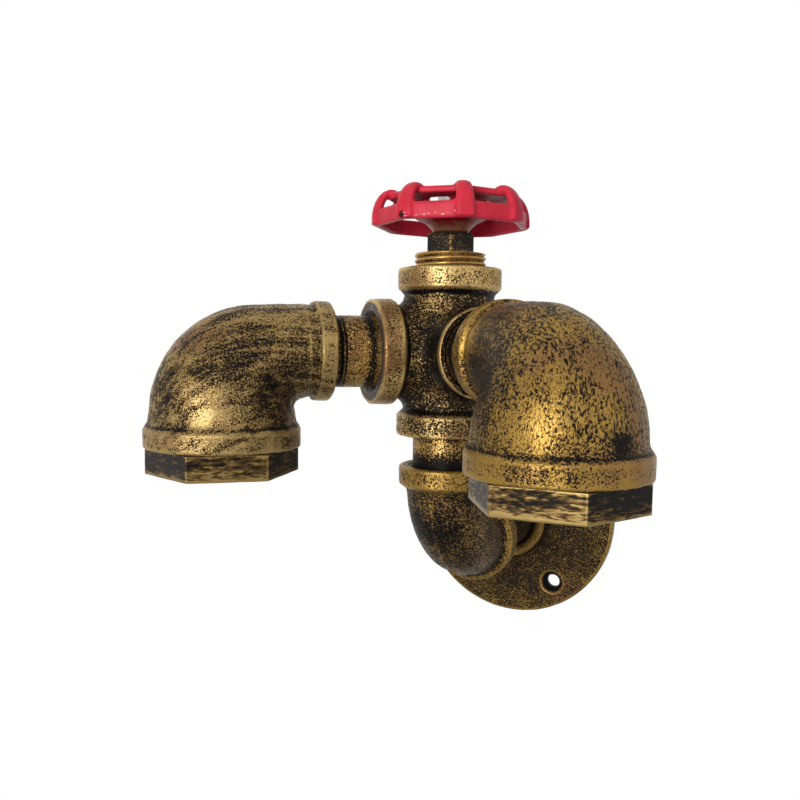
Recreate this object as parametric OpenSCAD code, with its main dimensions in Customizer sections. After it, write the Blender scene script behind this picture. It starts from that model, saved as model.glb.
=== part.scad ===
// Pipe wall light: two lamp heads on a side-outlet tee, with a valve wheel as its switch.
// Millimetres. The origin is the centre of the flange's back face on the wall.
// +Z is up, +X is right as seen from the room, and the light stands out along -Y.

/* [Pipe] */
// Outside diameter of the pipe nipples
pipe_od = 26.7; // [21:0.1:33]
// Bore of the pipe nipples
pipe_id = 20.9; // [18:0.1:23]
// Radial clearance of a threaded or turning joint
thread_gap = 0.05; // [0.02:0.01:0.1]
// Length of a nipple that is screwed into a fitting
thread_grip = 12; // [9:0.5:15]
// Room left in a socket beyond the nipple's end
socket_room = 1.5; // [0.5:0.1:3]
// Widening of each socket's mouth
mouth_flare = 2.3; // [0.5:0.1:2.8]
// Depth of the widened mouth
mouth_depth = 1.6; // [0.5:0.1:3]
// Edge chamfer on a nipple's ends
pipe_chamfer = 0.6; // [0.2:0.1:1.2]

/* [Fittings] */
// Rounding of the edges of the bands
band_round = 0.9; // [0.3:0.1:1.2]
// Length of the slope from a fitting's body up to its band
band_slope = 2.4; // [0.8:0.1:3]

/* [Wall flange] */
// Diameter of the flange
flange_d = 96.5; // [85:0.5:120]
// Thickness of the flange at its edge
flange_t = 5; // [4:0.1:8]
// Crown of the flange, from its edge to the foot of the hub
flange_crown = 1.2; // [0.4:0.1:3]
// Wall of the hub around the pipe thread
hub_wall = 5.7; // [3.5:0.1:8]
// Height of the hub's face above the wall
hub_h = 16; // [14:0.1:24]
// Fillet at the foot of the hub
hub_fillet = 3.5; // [1:0.1:5]
// Number of screw holes
screw_count = 4; // [3:1:6]
// Diameter of the circle of screw holes
screw_circle_d = 75; // [66:0.5:78]
// Diameter of a screw hole
screw_hole_d = 6.2; // [4:0.1:8]
// Diameter of the countersink
screw_head_d = 11.3; // [9:0.1:14]
// Turn of the first screw hole from the level
screw_turn = -57; // [-90:1:90]

/* [Lower elbow] */
// Reach from the wall to the riser's axis
wall_reach = 88; // [75:0.5:120]
// Centre to end of the lower elbow
elbow_len = 34.3; // [32:0.1:42]
// Centreline radius of the lower elbow's bend
elbow_bend = 29.5; // [24:0.5:31]
// Wall of the lower elbow's body over the pipe
elbow_wall = 2.2; // [1.8:0.1:4]
// Wall of the lower elbow's bands over the pipe
elbow_band_wall = 5.3; // [4.4:0.1:7]
// Width of the lower elbow's bands
elbow_band_w = 8.3; // [5:0.1:9]

/* [Tee] */
// Length of riser nipple that shows
riser_gap = 11.9; // [6:0.1:40]
// Centre to end of the tee
tee_len = 32; // [31:0.1:38]
// Wall of the tee's body over the pipe
tee_wall = 3.85; // [2.5:0.05:5]
// Wall of the tee's bands over the pipe
tee_band_wall = 6.5; // [6:0.1:8]
// Width of the tee's bands
tee_band_w = 9; // [5:0.1:9.5]
// Reach of the blends in the tee's crotches
tee_blend = 4; // [1:0.1:4.5]
// Angle between the two arms in plan
arm_spread = 90; // [80:1:130]
// Length of arm nipple that shows
arm_gap = 16; // [8:0.1:60]

/* [Lamp heads] */
// Reducing elbow, centre to small end
small_len = 38; // [36:0.1:50]
// Reducing elbow, centre to large end
large_len = 34.1; // [33:0.1:45]
// Wall of the small end's body over the pipe
small_wall = 3.85; // [2.8:0.05:4.4]
// Wall of the small end's band over the pipe
small_band_wall = 4.9; // [4.9:0.1:7]
// Width of the small end's band
small_band_w = 6.1; // [4.5:0.1:8]
// Wall of the large end's body over the bushing
large_wall = 3.85; // [3.4:0.05:4.8]
// Spread of the large end's body towards its band
large_flare = 1.2; // [0.2:0.1:1.4]
// Wall of the large end's band over the bushing
large_band_wall = 6.6; // [6.3:0.1:9]
// Width of the large end's band
large_band_w = 7.7; // [6:0.1:10]
// Wall of the reducing elbow at its large end
head_wall = 3.2; // [2:0.1:3.5]
// Radius of the inside corner of the reducing elbow
corner_r = 4; // [3:0.1:6]
// Radius of the outside bend of the reducing elbow
outer_bend = 37; // [30:0.5:40]
// Drop of the outside bend's top below the small end's top
dome_drop = 0.8; // [0:0.1:2]
// Turn of a head at rest, left
left_aim = 0; // [-45:1:45]
// Turn of a head at rest, right
right_aim = 0; // [-45:1:45]

/* [Hex bushings] */
// Wall of the bushing around the lamp holder
bushing_wall = 3.75; // [3:0.05:6]
// Step from the bushing's thread out to the flats of its hexagon
hex_step = 2.4; // [1.5:0.1:5]
// Height of the hexagon
hex_h = 9.1; // [6:0.1:14]
// Bevel of the hexagon's corners at both faces
hex_break = 0.5; // [0.2:0.1:1.5]
// Gap between the hexagon and the elbow's mouth
hex_gap = 0.4; // [0.2:0.1:1]
// Length of the bushing's thread
spigot_len = 13.5; // [11:0.5:15]
// Inward lip under the lamp holder
lip_in = 1.7; // [1:0.1:2.2]
// Height of that lip
lip_h = 2.4; // [1.5:0.1:4]
// Turn of the left hexagon's corner in plan
left_hex_turn = 42; // [0:1:60]
// Turn of the right hexagon's corner in plan
right_hex_turn = 3; // [0:1:60]

/* [Lamp holders] */
// Bore of the screw shell
cap_d = 26.6; // [22:0.1:32]
// Sheet thickness of the screw shell
shell_t = 0.5; // [0.3:0.05:0.8]
// Length of the screw shell
shell_len = 19; // [16:0.5:22]
// Set-back of the screw shell from the holder's mouth
shell_set = 0.6; // [0.3:0.1:1.5]
// Wall of the ceramic holder around the shell
holder_wall = 3.2; // [2.6:0.1:5]
// Thickness of the ceramic over the centre contact
holder_roof = 3.9; // [3.4:0.1:5]
// Slip clearance of a piece that drops into its seat
slip_gap = 0.1; // [0.05:0.01:0.3]
// Thickness of the retaining ring
ring_t = 1.4; // [1:0.1:1.8]
// Depth of the retaining ring's groove
ring_groove = 0.9; // [0.5:0.1:1.5]
// Distance of each terminal screw from the axis
terminal_off = 8; // [6:0.5:10]
// Length of the centre contact strip
contact_len = 14.6; // [10:0.2:18]
// Width of the centre contact strip
contact_w = 6; // [4:0.5:8]
// Thickness of the centre contact strip
contact_t = 0.6; // [0.4:0.1:1]

/* [Valve top] */
// Diameter of the bonnet's thread above the tee
bonnet_d = 27.4; // [24:0.1:33]
// Height of bonnet that stands out of the tee
bonnet_rise = 5.6; // [4:0.1:12]
// Length of bonnet inside the tee
bonnet_grip = 10; // [8:0.5:12]
// Diameter of the stuffing boss under the gland nut
boss_d = 13; // [11.5:0.1:14]
// Height of the stuffing boss
boss_h = 4.2; // [3:0.1:8]
// Height of the gland packing
packing_t = 1.5; // [1:0.1:3]
// Thickness of the gland nut's top
gland_cap = 1.9; // [1.2:0.1:4]
// Wall of the gland nut between its thread and its flats
gland_wall = 2.2; // [1.4:0.1:4]
// Turn of the gland nut's corner in plan
gland_turn = 53; // [0:1:60]
// Diameter of the spindle
spindle_d = 8; // [6:0.1:9.4]
// Side of the spindle's square
square_w = 5.4; // [4.4:0.1:5.6]

/* [Handwheel] */
// Diameter of the handwheel
wheel_d = 61; // [54:0.5:80]
// Height of the handwheel from its skirt to the rib tops
wheel_h = 14; // [12:0.1:18]
// Drop of the hub below the skirt
hub_drop = 1.8; // [1:0.1:6]
// Height of the hub
wheel_hub_h = 9.5; // [9:0.1:14]
// Diameter of the hub
wheel_hub_d = 15; // [13.5:0.1:18]
// Height of the skirt
skirt_h = 5; // [3:0.1:6]
// Thickness of the skirt
wheel_t = 2.6; // [1.8:0.1:3]
// Bevel along the skirt's and the plate's edges
edge_break = 0.5; // [0.2:0.1:0.8]
// Number of arched ribs, one at each corner of the skirt
rib_count = 8; // [6:1:10]
// Width of a rib
rib_w = 6; // [4:0.1:8]
// Thickness of a rib where it rises from the skirt
rib_leg = 4; // [3.4:0.1:5]
// Distance of the rib tops from the wheel's edge
rib_run = 7.5; // [6.6:0.1:8]
// Length of a rib behind its top
rib_back = 3.2; // [2:0.1:3.6]
// How far the ribs stand proud of the skirt's corners
rib_proud = 0.3; // [0.2:0.1:0.8]
// Distance of the plate's edge from the wheel's edge
plate_in = 6.1; // [5.4:0.1:7]
// Width of the plate around the dish
plate_rim = 7.2; // [5:0.1:8]
// Height of the plate's top above the skirt's foot
plate_z = 11.2; // [9:0.1:12]
// Thickness of the plate and the dish
plate_t = 1.9; // [1.4:0.1:2.8]
// Turn of the first rib in plan
wheel_turn = 33; // [0:1:45]
// Number of openings in the dish
dish_openings = 4; // [3:1:6]
// Clearance under the wheel's hub
hub_gap = 0.4; // [0.2:0.1:1]
// Thickness of the washer on the hub
washer_t = 1; // [0.6:0.1:2]
// Outside diameter of that washer
washer_d = 12; // [10.5:0.1:13]
// Diameter of the thread on the spindle's end
end_thread_d = 5; // [4:0.1:5.2]
// Width across the flats of the wheel nut
wheel_nut_af = 9; // [8:0.1:10.5]
// Height of the wheel nut
wheel_nut_h = 4.4; // [3:0.1:6]

/* [Switch] */
// Diameter of the switch housing
switch_d = 17.4; // [15:0.1:17.8]
// Height of the switch housing
switch_h = 7.5; // [6:0.1:9]
// Thickness of the switch base
base_t = 1.4; // [1:0.1:2]
// Wall of the switch housing
switch_wall = 1.8; // [1.2:0.1:2]
// Height of the threaded neck in the bonnet
neck_h = 4; // [3:0.1:5]
// Wall of the threaded neck
neck_wall = 1.2; // [0.8:0.1:1.6]
// Clearance around the rotor
rotor_gap = 0.2; // [0.1:0.05:0.5]

/* [Leads] */
// Diameter of a sheathed lead
lead_d = 4; // [3:0.1:4.8]
// Centreline radius of a lead's bend
lead_bend = 8; // [6:0.1:8.5]
// Distance of each lead from the tee's axis at the switch
lead_off = 4; // [3.6:0.1:5]

/* [Hidden] */
$fn = 64;

// Colours
antique = [0.47, 0.36, 0.2];
blackened = [0.1, 0.095, 0.09];
wheel_red = [0.72, 0.07, 0.1];
ceramic = [0.93, 0.92, 0.88];
brass = [0.8, 0.62, 0.28];
steel = [0.66, 0.66, 0.66];
bakelite = [0.16, 0.12, 0.1];
silicone = [0.86, 0.84, 0.78];

// Small overlap that carries a cut through a face
cut = 1;
// Points on each rounded edge
round_steps = 5;
// Points on each curve of a rib
bow_steps = 9;

// Pipe and sockets
pipe_r = pipe_od / 2;
bore_r = pipe_r + thread_gap;
passage_r = pipe_id / 2;
socket_depth = thread_grip + socket_room;

// Heights of the tee and places of the arms
tee_r = pipe_r + tee_wall;
stub_sides = 32;
tee_z = elbow_len + riser_gap + tee_len;
arm_len = tee_len + arm_gap + small_len;
left_dir = -90 - arm_spread / 2;
right_dir = -90 + arm_spread / 2;

// Lamp holder, bushing and large socket, each sized by what it holds
shell_r = cap_d / 2;
shell_seat_r = shell_r + shell_t + slip_gap;
holder_r = shell_seat_r + holder_wall;
seat_r = holder_r + slip_gap;
spigot_r = seat_r + bushing_wall;
large_bore_r = spigot_r + thread_gap;
hex_r = (spigot_r + hex_step) / cos(30);

// Reducing elbow
small_r = pipe_r + small_wall;
small_band_r = pipe_r + small_band_wall;
large_r = spigot_r + large_wall;
large_band_r = spigot_r + large_band_wall;
corner_x = large_r + corner_r;
corner_z = -small_r - corner_r;
arc_x = outer_bend - large_r;
arc_z = small_r - dome_drop - outer_bend;
dome_rise = dome_drop / (corner_x - arc_x);
flared_r = large_r + large_flare;
loft_sides = 40;
loft_steps = 14;
// How soon the bend narrows on its way to the small end
narrowing = 4;
// Turn of the bend over which the body spreads
flare_turn = 30;
// The loft's ends stay this far inside the bands
loft_inset = 2;
// What lies under a loft or a blend stays this far below its skin
skin = 0.3;

// Heights in a lamp head, from the arm's axis
hex_top = -large_len - hex_gap;
hex_bottom = hex_top - hex_h;
holder_seat = hex_bottom + lip_h;
spigot_top = hex_top + spigot_len;
ring_z = spigot_top - 2 * ring_t;
holder_neck_r = shell_seat_r + holder_wall / 2;
shell_z = holder_seat + shell_set;
// The contact's tongue ends just clear of the shell's top
contact_drop = 2.4;
contact_z = shell_z + shell_len + contact_drop + slip_gap;
holder_top = contact_z + holder_roof;
terminal_r = 1.5;
terminal_head_r = 2.6;
terminal_head_h = 2;
terminal_len = 3;
ring_split = 30;

// Valve top, from the tee's centre
bonnet_top = tee_len + bonnet_rise;
boss_top = bonnet_top + boss_h;
gland_h = boss_h + packing_t + gland_cap;
gland_top = bonnet_top + gland_h;
gland_bore_r = boss_d / 2 + thread_gap;
gland_r = (gland_bore_r + gland_wall) / cos(30);
spindle_r = spindle_d / 2;
spindle_bore_r = spindle_r + thread_gap;
wheel_z = gland_top + hub_gap;
skirt_z = wheel_z + hub_drop;
hub_top = wheel_z + wheel_hub_h;
wheel_r = wheel_d / 2;
rib_top_r = wheel_r - rib_run;
rib_spring = skirt_h / 2;
plate_r = wheel_r - plate_in;
plate_seat = plate_z - plate_t / 2;
dish_r = plate_r - plate_rim;
dish_lip = 0.85 * plate_t;
spoke_turn = 40;
nut_z = hub_top + washer_t;
thread_show = 1;
spindle_top = nut_z + wheel_nut_h + thread_show;

// Switch, from the tee's centre
switch_top = tee_len - bonnet_grip;
switch_floor = switch_top - switch_h;
base_z = switch_floor - base_t;
cavity_r = switch_d / 2 - switch_wall;
rotor_r = cavity_r - rotor_gap;
rotor_z = switch_floor + rotor_gap;
rotor_h = switch_h - switch_wall - 2 * rotor_gap;
neck_r = spindle_bore_r + neck_wall;

// Points on an arc, from one angle to another
function arc(centre, r, from, to) = [
    for (i = [0 : round_steps])
        let (a = from + (to - from) * i / round_steps)
        centre + r * [cos(a), sin(a)]
];

// Places

// Local +Z points out of the wall
module on_wall() {
    rotate([90, 0, 0]) children();
}

// The tee's centre
module at_tee() {
    translate([0, -wall_reach, tee_z]) children();
}

// Local +Z points along an arm, from the tee's centre
module along_arm(dir) {
    at_tee() rotate([0, 0, dir]) rotate([0, 90, 0]) children();
}

// A lamp head: local +X points back along its arm to the tee
module at_head(dir, aim) {
    at_tee() rotate([0, 0, dir]) translate([arm_len, 0, 0]) rotate([aim, 0, 180]) children();
}

// Shared shapes

// Tube between two heights with chamfered outer edges
module nipple(from, to) {
    color(antique) rotate_extrude() polygon([
        [passage_r, from],
        [pipe_r - pipe_chamfer, from],
        [pipe_r, from + pipe_chamfer],
        [pipe_r, to - pipe_chamfer],
        [pipe_r - pipe_chamfer, to],
        [passage_r, to]
    ]);
}

// One banded end of a cast fitting along +Z, solid, from a start height to its face.
// The body swells into the band along half a wave.
module banded_end(start, len, body_r, band_r, band_w) {
    foot = len - band_w - band_slope / 2;
    rotate_extrude() polygon(concat(
        [[0, start], [body_r, start]],
        [
            for (i = [0 : 2 * round_steps])
                let (u = i / (2 * round_steps))
                [body_r + (band_r - body_r) * (1 - cos(180 * u)) / 2, foot + band_slope * u]
        ],
        arc([band_r - band_round, len - band_round], band_round, 0, 90),
        [[0, len]]
    ));
}

// The cut for one threaded socket along +Z
module socket_cut(len, r, depth) {
    translate([0, 0, len - depth]) cylinder(h = depth + cut, r = r);
    translate([0, 0, len - mouth_depth]) cylinder(h = mouth_depth, r1 = r, r2 = r + mouth_flare);
}

// Quarter bend of a round bar, from +X round to +Z, about the corner at the origin
module quarter_bend(bend, r) {
    translate([bend, 0, bend]) rotate([90, 0, 0]) rotate([0, 0, 180])
        rotate_extrude(angle = 90) translate([bend, 0]) circle(r = r);
}

// Wall and riser

// Disc with a crowned face, a filleted hub and countersunk screw holes
module wall_flange() {
    hub_r = pipe_r + hub_wall;
    crown_r = hub_r + hub_fillet;
    crown_z = flange_t + flange_crown;
    edge = flange_t / 4;
    sink = (screw_head_d - screw_hole_d) / 2;
    hole_top = flange_t + flange_crown * (flange_d - screw_circle_d) / (flange_d - 2 * crown_r);
    color(antique) on_wall() difference() {
        rotate_extrude() polygon(concat(
            [[0, 0], [flange_d / 2 - edge / 2, 0], [flange_d / 2, edge / 2]],
            arc([flange_d / 2 - edge, flange_t - edge], edge, 0, 90),
            arc([crown_r, crown_z + hub_fillet], hub_fillet, 270, 180),
            arc([hub_r - band_round, hub_h - band_round], band_round, 0, 90),
            [[0, hub_h]]
        ));
        translate([0, 0, -cut]) cylinder(h = hub_h + 2 * cut, r = bore_r);
        translate([0, 0, hub_h - mouth_depth])
            cylinder(h = mouth_depth, r1 = bore_r, r2 = bore_r + mouth_flare);
        for (i = [0 : screw_count - 1])
            rotate([0, 0, screw_turn + 360 * i / screw_count])
                translate([screw_circle_d / 2, 0, 0]) {
                    translate([0, 0, -cut]) cylinder(h = flange_t, d = screw_hole_d);
                    translate([0, 0, hole_top - sink])
                        cylinder(h = sink + cut, d1 = screw_hole_d, d2 = screw_head_d + 2 * cut);
                }
    }
}

module wall_nipple() {
    on_wall() nipple(hub_h - thread_grip, wall_reach - elbow_len + thread_grip);
}

// Equal elbow: a quarter bend between two banded ends
module lower_elbow() {
    body_r = pipe_r + elbow_wall;
    band_r = pipe_r + elbow_band_wall;
    color(antique) translate([0, -wall_reach, 0]) rotate([0, 0, 90]) difference() {
        union() {
            quarter_bend(elbow_bend, body_r);
            for (turn = [0, 90])
                rotate([0, turn, 0])
                    banded_end(
                        elbow_len - elbow_band_w - band_slope, elbow_len,
                        body_r - skin, band_r, elbow_band_w);
        }
        quarter_bend(elbow_bend, passage_r);
        for (turn = [0, 90])
            rotate([0, turn, 0]) {
                translate([0, 0, elbow_bend]) cylinder(h = elbow_len - elbow_bend, r = passage_r);
                socket_cut(elbow_len, bore_r, socket_depth);
            }
    }
}

module riser_nipple() {
    translate([0, -wall_reach, 0])
        nipple(elbow_len - thread_grip, elbow_len + riser_gap + thread_grip);
}

// Tee and arms

// Sends +Z to each of the tee's four ends in turn
module tee_ends() {
    children();
    rotate([180, 0, 0]) children();
    for (dir = [left_dir, right_dir])
        rotate([0, 0, dir]) rotate([0, 90, 0]) children();
}

// A branch as far as the blend reaches, just under the body's skin
module tee_stub() {
    cylinder(h = tee_r + tee_blend, r = tee_r - skin, $fn = stub_sides);
}

// The same along an arm, with no side in one plane with the run's
module arm_stub(dir) {
    rotate([0, 0, dir]) rotate([0, 90, 0]) rotate([0, 0, 90 / stub_sides]) tee_stub();
}

// Run and two side outlets, blended where they meet
module side_outlet_tee() {
    color(antique) at_tee() difference() {
        union() {
            tee_ends() banded_end(0, tee_len, tee_r, pipe_r + tee_band_wall, tee_band_w);
            for (dir = [left_dir, right_dir])
                hull() {
                    tee_stub();
                    mirror([0, 0, 1]) tee_stub();
                    arm_stub(dir);
                }
            hull() {
                arm_stub(left_dir);
                arm_stub(right_dir);
            }
        }
        tee_ends() {
            cylinder(h = tee_len, r = passage_r);
            socket_cut(tee_len, bore_r, socket_depth);
        }
    }
}

module arm_nipple(dir) {
    along_arm(dir) nipple(tee_len - thread_grip, tee_len + arm_gap + thread_grip);
}

module left_arm_nipple() {
    arm_nipple(left_dir);
}

module right_arm_nipple() {
    arm_nipple(right_dir);
}

// Valve top

module valve_bonnet() {
    shank_r = bore_r - thread_gap;
    color(antique) at_tee() difference() {
        rotate_extrude() polygon([
            [0, switch_top],
            [shank_r - pipe_chamfer, switch_top],
            [shank_r, switch_top + pipe_chamfer],
            [shank_r, tee_len],
            [bonnet_d / 2, tee_len],
            [bonnet_d / 2, bonnet_top - pipe_chamfer],
            [bonnet_d / 2 - pipe_chamfer, bonnet_top],
            [boss_d / 2, bonnet_top],
            [boss_d / 2, boss_top],
            [0, boss_top]
        ]);
        translate([0, 0, switch_top - cut]) cylinder(h = boss_top, r = spindle_bore_r);
        translate([0, 0, switch_top - cut]) cylinder(h = neck_h + cut + slip_gap, r = neck_r + thread_gap);
    }
}

module gland_packing() {
    color(silicone) at_tee() translate([0, 0, boss_top]) difference() {
        cylinder(h = packing_t, r = boss_d / 2);
        translate([0, 0, -cut]) cylinder(h = packing_t + 2 * cut, r = spindle_bore_r);
    }
}

// Hexagon with its corners turned down to a cone at the top
module gland_nut() {
    color(blackened) at_tee() translate([0, 0, bonnet_top]) difference() {
        intersection() {
            rotate([0, 0, gland_turn]) cylinder(h = gland_h, r = gland_r, $fn = 6);
            cylinder(h = gland_h, r1 = gland_r + gland_h, r2 = gland_r * cos(30));
        }
        translate([0, 0, -cut]) cylinder(h = boss_h + packing_t + cut, r = gland_bore_r);
        cylinder(h = gland_h + cut, r = spindle_bore_r + slip_gap);
    }
}

// Round through the gland, square through the wheel, threaded at its end
module spindle() {
    color(steel) at_tee() {
        translate([0, 0, rotor_z]) cylinder(h = wheel_z - rotor_z, r = spindle_r);
        translate([0, 0, wheel_z]) rotate([0, 0, wheel_turn]) translate([-square_w / 2, -square_w / 2, 0])
            cube([square_w, square_w, wheel_hub_h]);
        translate([0, 0, hub_top]) cylinder(h = spindle_top - hub_top, d = end_thread_d);
    }
}

// Handwheel

// Points of an ellipse about a centre, between two angles
function bow(centre, across, up, from, to) = [
    for (i = [0 : bow_steps])
        let (a = from + (to - from) * i / bow_steps)
        centre + [across * cos(a), up * sin(a)]
];

// Rib in its radial plane: up from the skirt, over its top and down into the plate
module rib_profile() {
    polygon(concat(
        [[wheel_r, edge_break]],
        bow([rib_top_r, rib_spring], rib_run, wheel_h - rib_spring, 0, 90),
        bow([rib_top_r, plate_seat], rib_back, wheel_h - plate_seat, 90, 180),
        bow([rib_top_r, rib_spring], rib_run - rib_leg, plate_seat - rib_spring, 90, 0),
        [[wheel_r - rib_leg, edge_break]]
    ));
}

// Hub and cone of the dish in one profile
module dish_profile() {
    hub_r = wheel_hub_d / 2;
    hub_low = -hub_drop;
    hub_high = hub_low + wheel_hub_h;
    polygon([
        [0, hub_low],
        [hub_r, hub_low],
        [dish_r, plate_seat],
        [dish_r - dish_lip, plate_seat],
        [hub_r, hub_high - 2 * plate_t],
        [hub_r, hub_high],
        [0, hub_high]
    ]);
}

// Prism with a corner at each rib and both its edges bevelled
module bevelled_prism(height, r) {
    cylinder(h = edge_break, r1 = r - edge_break, r2 = r, $fn = rib_count);
    translate([0, 0, edge_break]) cylinder(h = height - 2 * edge_break, r = r, $fn = rib_count);
    translate([0, 0, height - edge_break])
        cylinder(h = edge_break, r1 = r, r2 = r - edge_break, $fn = rib_count);
}

// Many-sided skirt below, dished plate above, arched ribs between them
module handwheel() {
    skirt_r = wheel_r - rib_proud;
    skirt_bore_r = skirt_r - wheel_t / cos(180 / rib_count);
    open_in = wheel_hub_d / 2 + wheel_t;
    open_out = dish_r - 2 * dish_lip;
    open_angle = 360 / dish_openings - spoke_turn;
    color(wheel_red) at_tee() translate([0, 0, skirt_z]) rotate([0, 0, wheel_turn]) difference() {
        union() {
            rotate_extrude() dish_profile();
            difference() {
                bevelled_prism(skirt_h, skirt_r);
                translate([0, 0, -cut]) cylinder(h = skirt_h + 2 * cut, r = skirt_bore_r, $fn = rib_count);
            }
            translate([0, 0, plate_z - plate_t]) difference() {
                bevelled_prism(plate_t, plate_r);
                translate([0, 0, -cut]) cylinder(h = plate_t + 2 * cut, r = dish_r - 0.8 * dish_lip);
            }
            for (i = [0 : rib_count - 1])
                rotate([0, 0, 360 * i / rib_count])
                    rotate([90, 0, 0])
                        translate([0, 0, -rib_w / 2]) linear_extrude(rib_w) rib_profile();
        }
        translate([-square_w / 2 - thread_gap, -square_w / 2 - thread_gap, -hub_drop - cut])
            cube([square_w + 2 * thread_gap, square_w + 2 * thread_gap, wheel_hub_h + 2 * cut]);
        for (i = [0 : dish_openings - 1])
            rotate([0, 0, 360 * (i + 0.5) / dish_openings - open_angle / 2])
                rotate_extrude(angle = open_angle)
                    translate([open_in, -hub_drop - cut])
                        square([open_out - open_in, wheel_h + hub_drop + 2 * cut]);
    }
}

module wheel_washer() {
    color(steel) at_tee() translate([0, 0, hub_top]) difference() {
        cylinder(h = washer_t, d = washer_d);
        translate([0, 0, -cut]) cylinder(h = washer_t + 2 * cut, d = end_thread_d + 2 * slip_gap);
    }
}

module wheel_nut() {
    nut_r = wheel_nut_af / 2 / cos(30);
    color(steel) at_tee() translate([0, 0, nut_z]) difference() {
        intersection() {
            rotate([0, 0, wheel_turn]) cylinder(h = wheel_nut_h, r = nut_r, $fn = 6);
            cylinder(h = wheel_nut_h, r1 = nut_r + wheel_nut_h, r2 = wheel_nut_af / 2);
        }
        translate([0, 0, -cut]) cylinder(h = wheel_nut_h + 2 * cut, r = end_thread_d / 2 + thread_gap);
    }
}

// Switch

// Cup that hangs from the bonnet by a threaded neck
module switch_housing() {
    color(bakelite) at_tee() difference() {
        union() {
            translate([0, 0, switch_floor]) cylinder(h = switch_h, d = switch_d);
            translate([0, 0, switch_top]) cylinder(h = neck_h, r = neck_r);
        }
        translate([0, 0, switch_floor - cut]) cylinder(h = switch_h - switch_wall + cut, r = cavity_r);
        cylinder(h = switch_top + neck_h + cut, r = spindle_bore_r);
    }
}

// Lid that closes the switch from below
module switch_base() {
    color(bakelite) at_tee() translate([0, 0, base_z]) cylinder(h = base_t, d = switch_d);
}

// Ring pressed on the foot of the spindle, which works the switch
module switch_rotor() {
    color(ceramic) at_tee() translate([0, 0, rotor_z]) difference() {
        cylinder(h = rotor_h, r = rotor_r);
        translate([0, 0, -cut]) cylinder(h = rotor_h + 2 * cut, r = spindle_r);
    }
}

// Leads

// From the switch, down and out along the arm to the end of its nipple
module inner_lead(dir) {
    reach = tee_len + arm_gap + thread_grip;
    color(silicone) at_tee() rotate([0, 0, dir]) translate([lead_off, 0, 0]) {
        translate([0, 0, lead_bend]) cylinder(h = base_z - lead_bend, d = lead_d);
        quarter_bend(lead_bend, lead_d / 2);
        translate([lead_bend, 0, 0]) rotate([0, 90, 0])
            cylinder(h = reach - lead_off - lead_bend, d = lead_d);
    }
}

module left_inner_lead() {
    inner_lead(left_dir);
}

module right_inner_lead() {
    inner_lead(right_dir);
}

// From the end of the nipple, round the corner and down to the lamp holder
module head_lead() {
    color(silicone) {
        translate([lead_bend, 0, 0]) rotate([0, 90, 0])
            cylinder(h = small_len - thread_grip - lead_bend, d = lead_d);
        mirror([0, 0, 1]) quarter_bend(lead_bend, lead_d / 2);
        translate([0, 0, holder_top]) cylinder(h = -lead_bend - holder_top, d = lead_d);
    }
}

// Lamp heads

// Distance from the inside corner's centre to the outer wall, at a turn of the bend
function outer_wall(t) = let (
    side = t < 90 ? (corner_x + large_r) / cos(t) : outer_bend * outer_bend,
    top = t > 0 ? (small_r - corner_z) / (sin(t) + dome_rise * cos(t)) : outer_bend * outer_bend,
    dx = corner_x - arc_x,
    dz = corner_z - arc_z,
    b = dz * sin(t) - dx * cos(t),
    c = dx * dx + dz * dz - outer_bend * outer_bend
)
    corner_z + side * sin(t) <= arc_z ? side
    : corner_x - top * cos(t) >= arc_x ? top
    : -b + sqrt(b * b - c);

// One ring of the bend, moved in from the outer wall by an inset
function bend_ring(t, inset) = let (
    out = outer_wall(t),
    mid = (out + corner_r) / 2,
    half = (out - corner_r) / 2 - inset,
    wide = small_r + (large_r - small_r) * pow(cos(t), narrowing) - inset
) [
    for (j = [0 : loft_sides - 1])
        let (p = 360 * j / loft_sides, d = mid + half * cos(p))
        [corner_x - d * cos(t), wide * sin(p), corner_z + d * sin(t)]
];

// Round ring at a height on the large end, or at a reach on the small end
function large_ring(z, r) = [
    for (j = [0 : loft_sides - 1])
        let (p = 360 * j / loft_sides)
        [-r * cos(p), r * sin(p), z]
];
function small_ring(x, r) = [
    for (j = [0 : loft_sides - 1])
        let (p = 360 * j / loft_sides)
        [x, r * sin(p), r * cos(p)]
];

// Closed solid through a list of rings
module loft(rings) {
    n = loft_sides;
    last = len(rings) - 1;
    sides = [
        for (i = [0 : last - 1], j = [0 : n - 1])
            let (a = i * n + j, b = i * n + (j + 1) % n)
            each [[a, b, b + n], [a, b + n, a + n]]
    ];
    foot = [[for (j = [n - 1 : -1 : 0]) j]];
    head = [[for (j = [0 : n - 1]) last * n + j]];
    polyhedron(points = [for (ring = rings) each ring], faces = concat(sides, foot, head));
}

// Lofted bend from the large end to the small end, with a band on each
module reducing_elbow() {
    // The body spreads over the last part of the bend before the large band
    function flare(t) = large_flare / 2 * pow(max(1 - t / flare_turn, 0), 2);
    // The wall thickens towards the small end, down to the pipe's bore
    function inset(t) = head_wall + (small_r - passage_r - head_wall) * sin(t) * sin(t);
    turns = [for (i = [0 : loft_steps]) 90 * i / loft_steps];
    color(antique) difference() {
        union() {
            loft(concat(
                [for (z = [loft_inset, large_band_w]) large_ring(z - large_len, flared_r)],
                [for (t = turns) bend_ring(t, -flare(t))],
                [small_ring(small_len - loft_inset, small_r)]
            ));
            mirror([0, 0, 1]) banded_end(
                large_len - large_band_w - band_slope, large_len,
                flared_r - skin, large_band_r, large_band_w);
            rotate([0, 90, 0]) banded_end(
                small_len - small_band_w - band_slope, small_len,
                small_r - skin, small_band_r, small_band_w);
        }
        loft([for (t = turns) bend_ring(t, inset(t))]);
        mirror([0, 0, 1]) socket_cut(large_len, large_bore_r, spigot_len - hex_gap + socket_room);
        rotate([0, 90, 0]) socket_cut(small_len, bore_r, socket_depth);
    }
}

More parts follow.
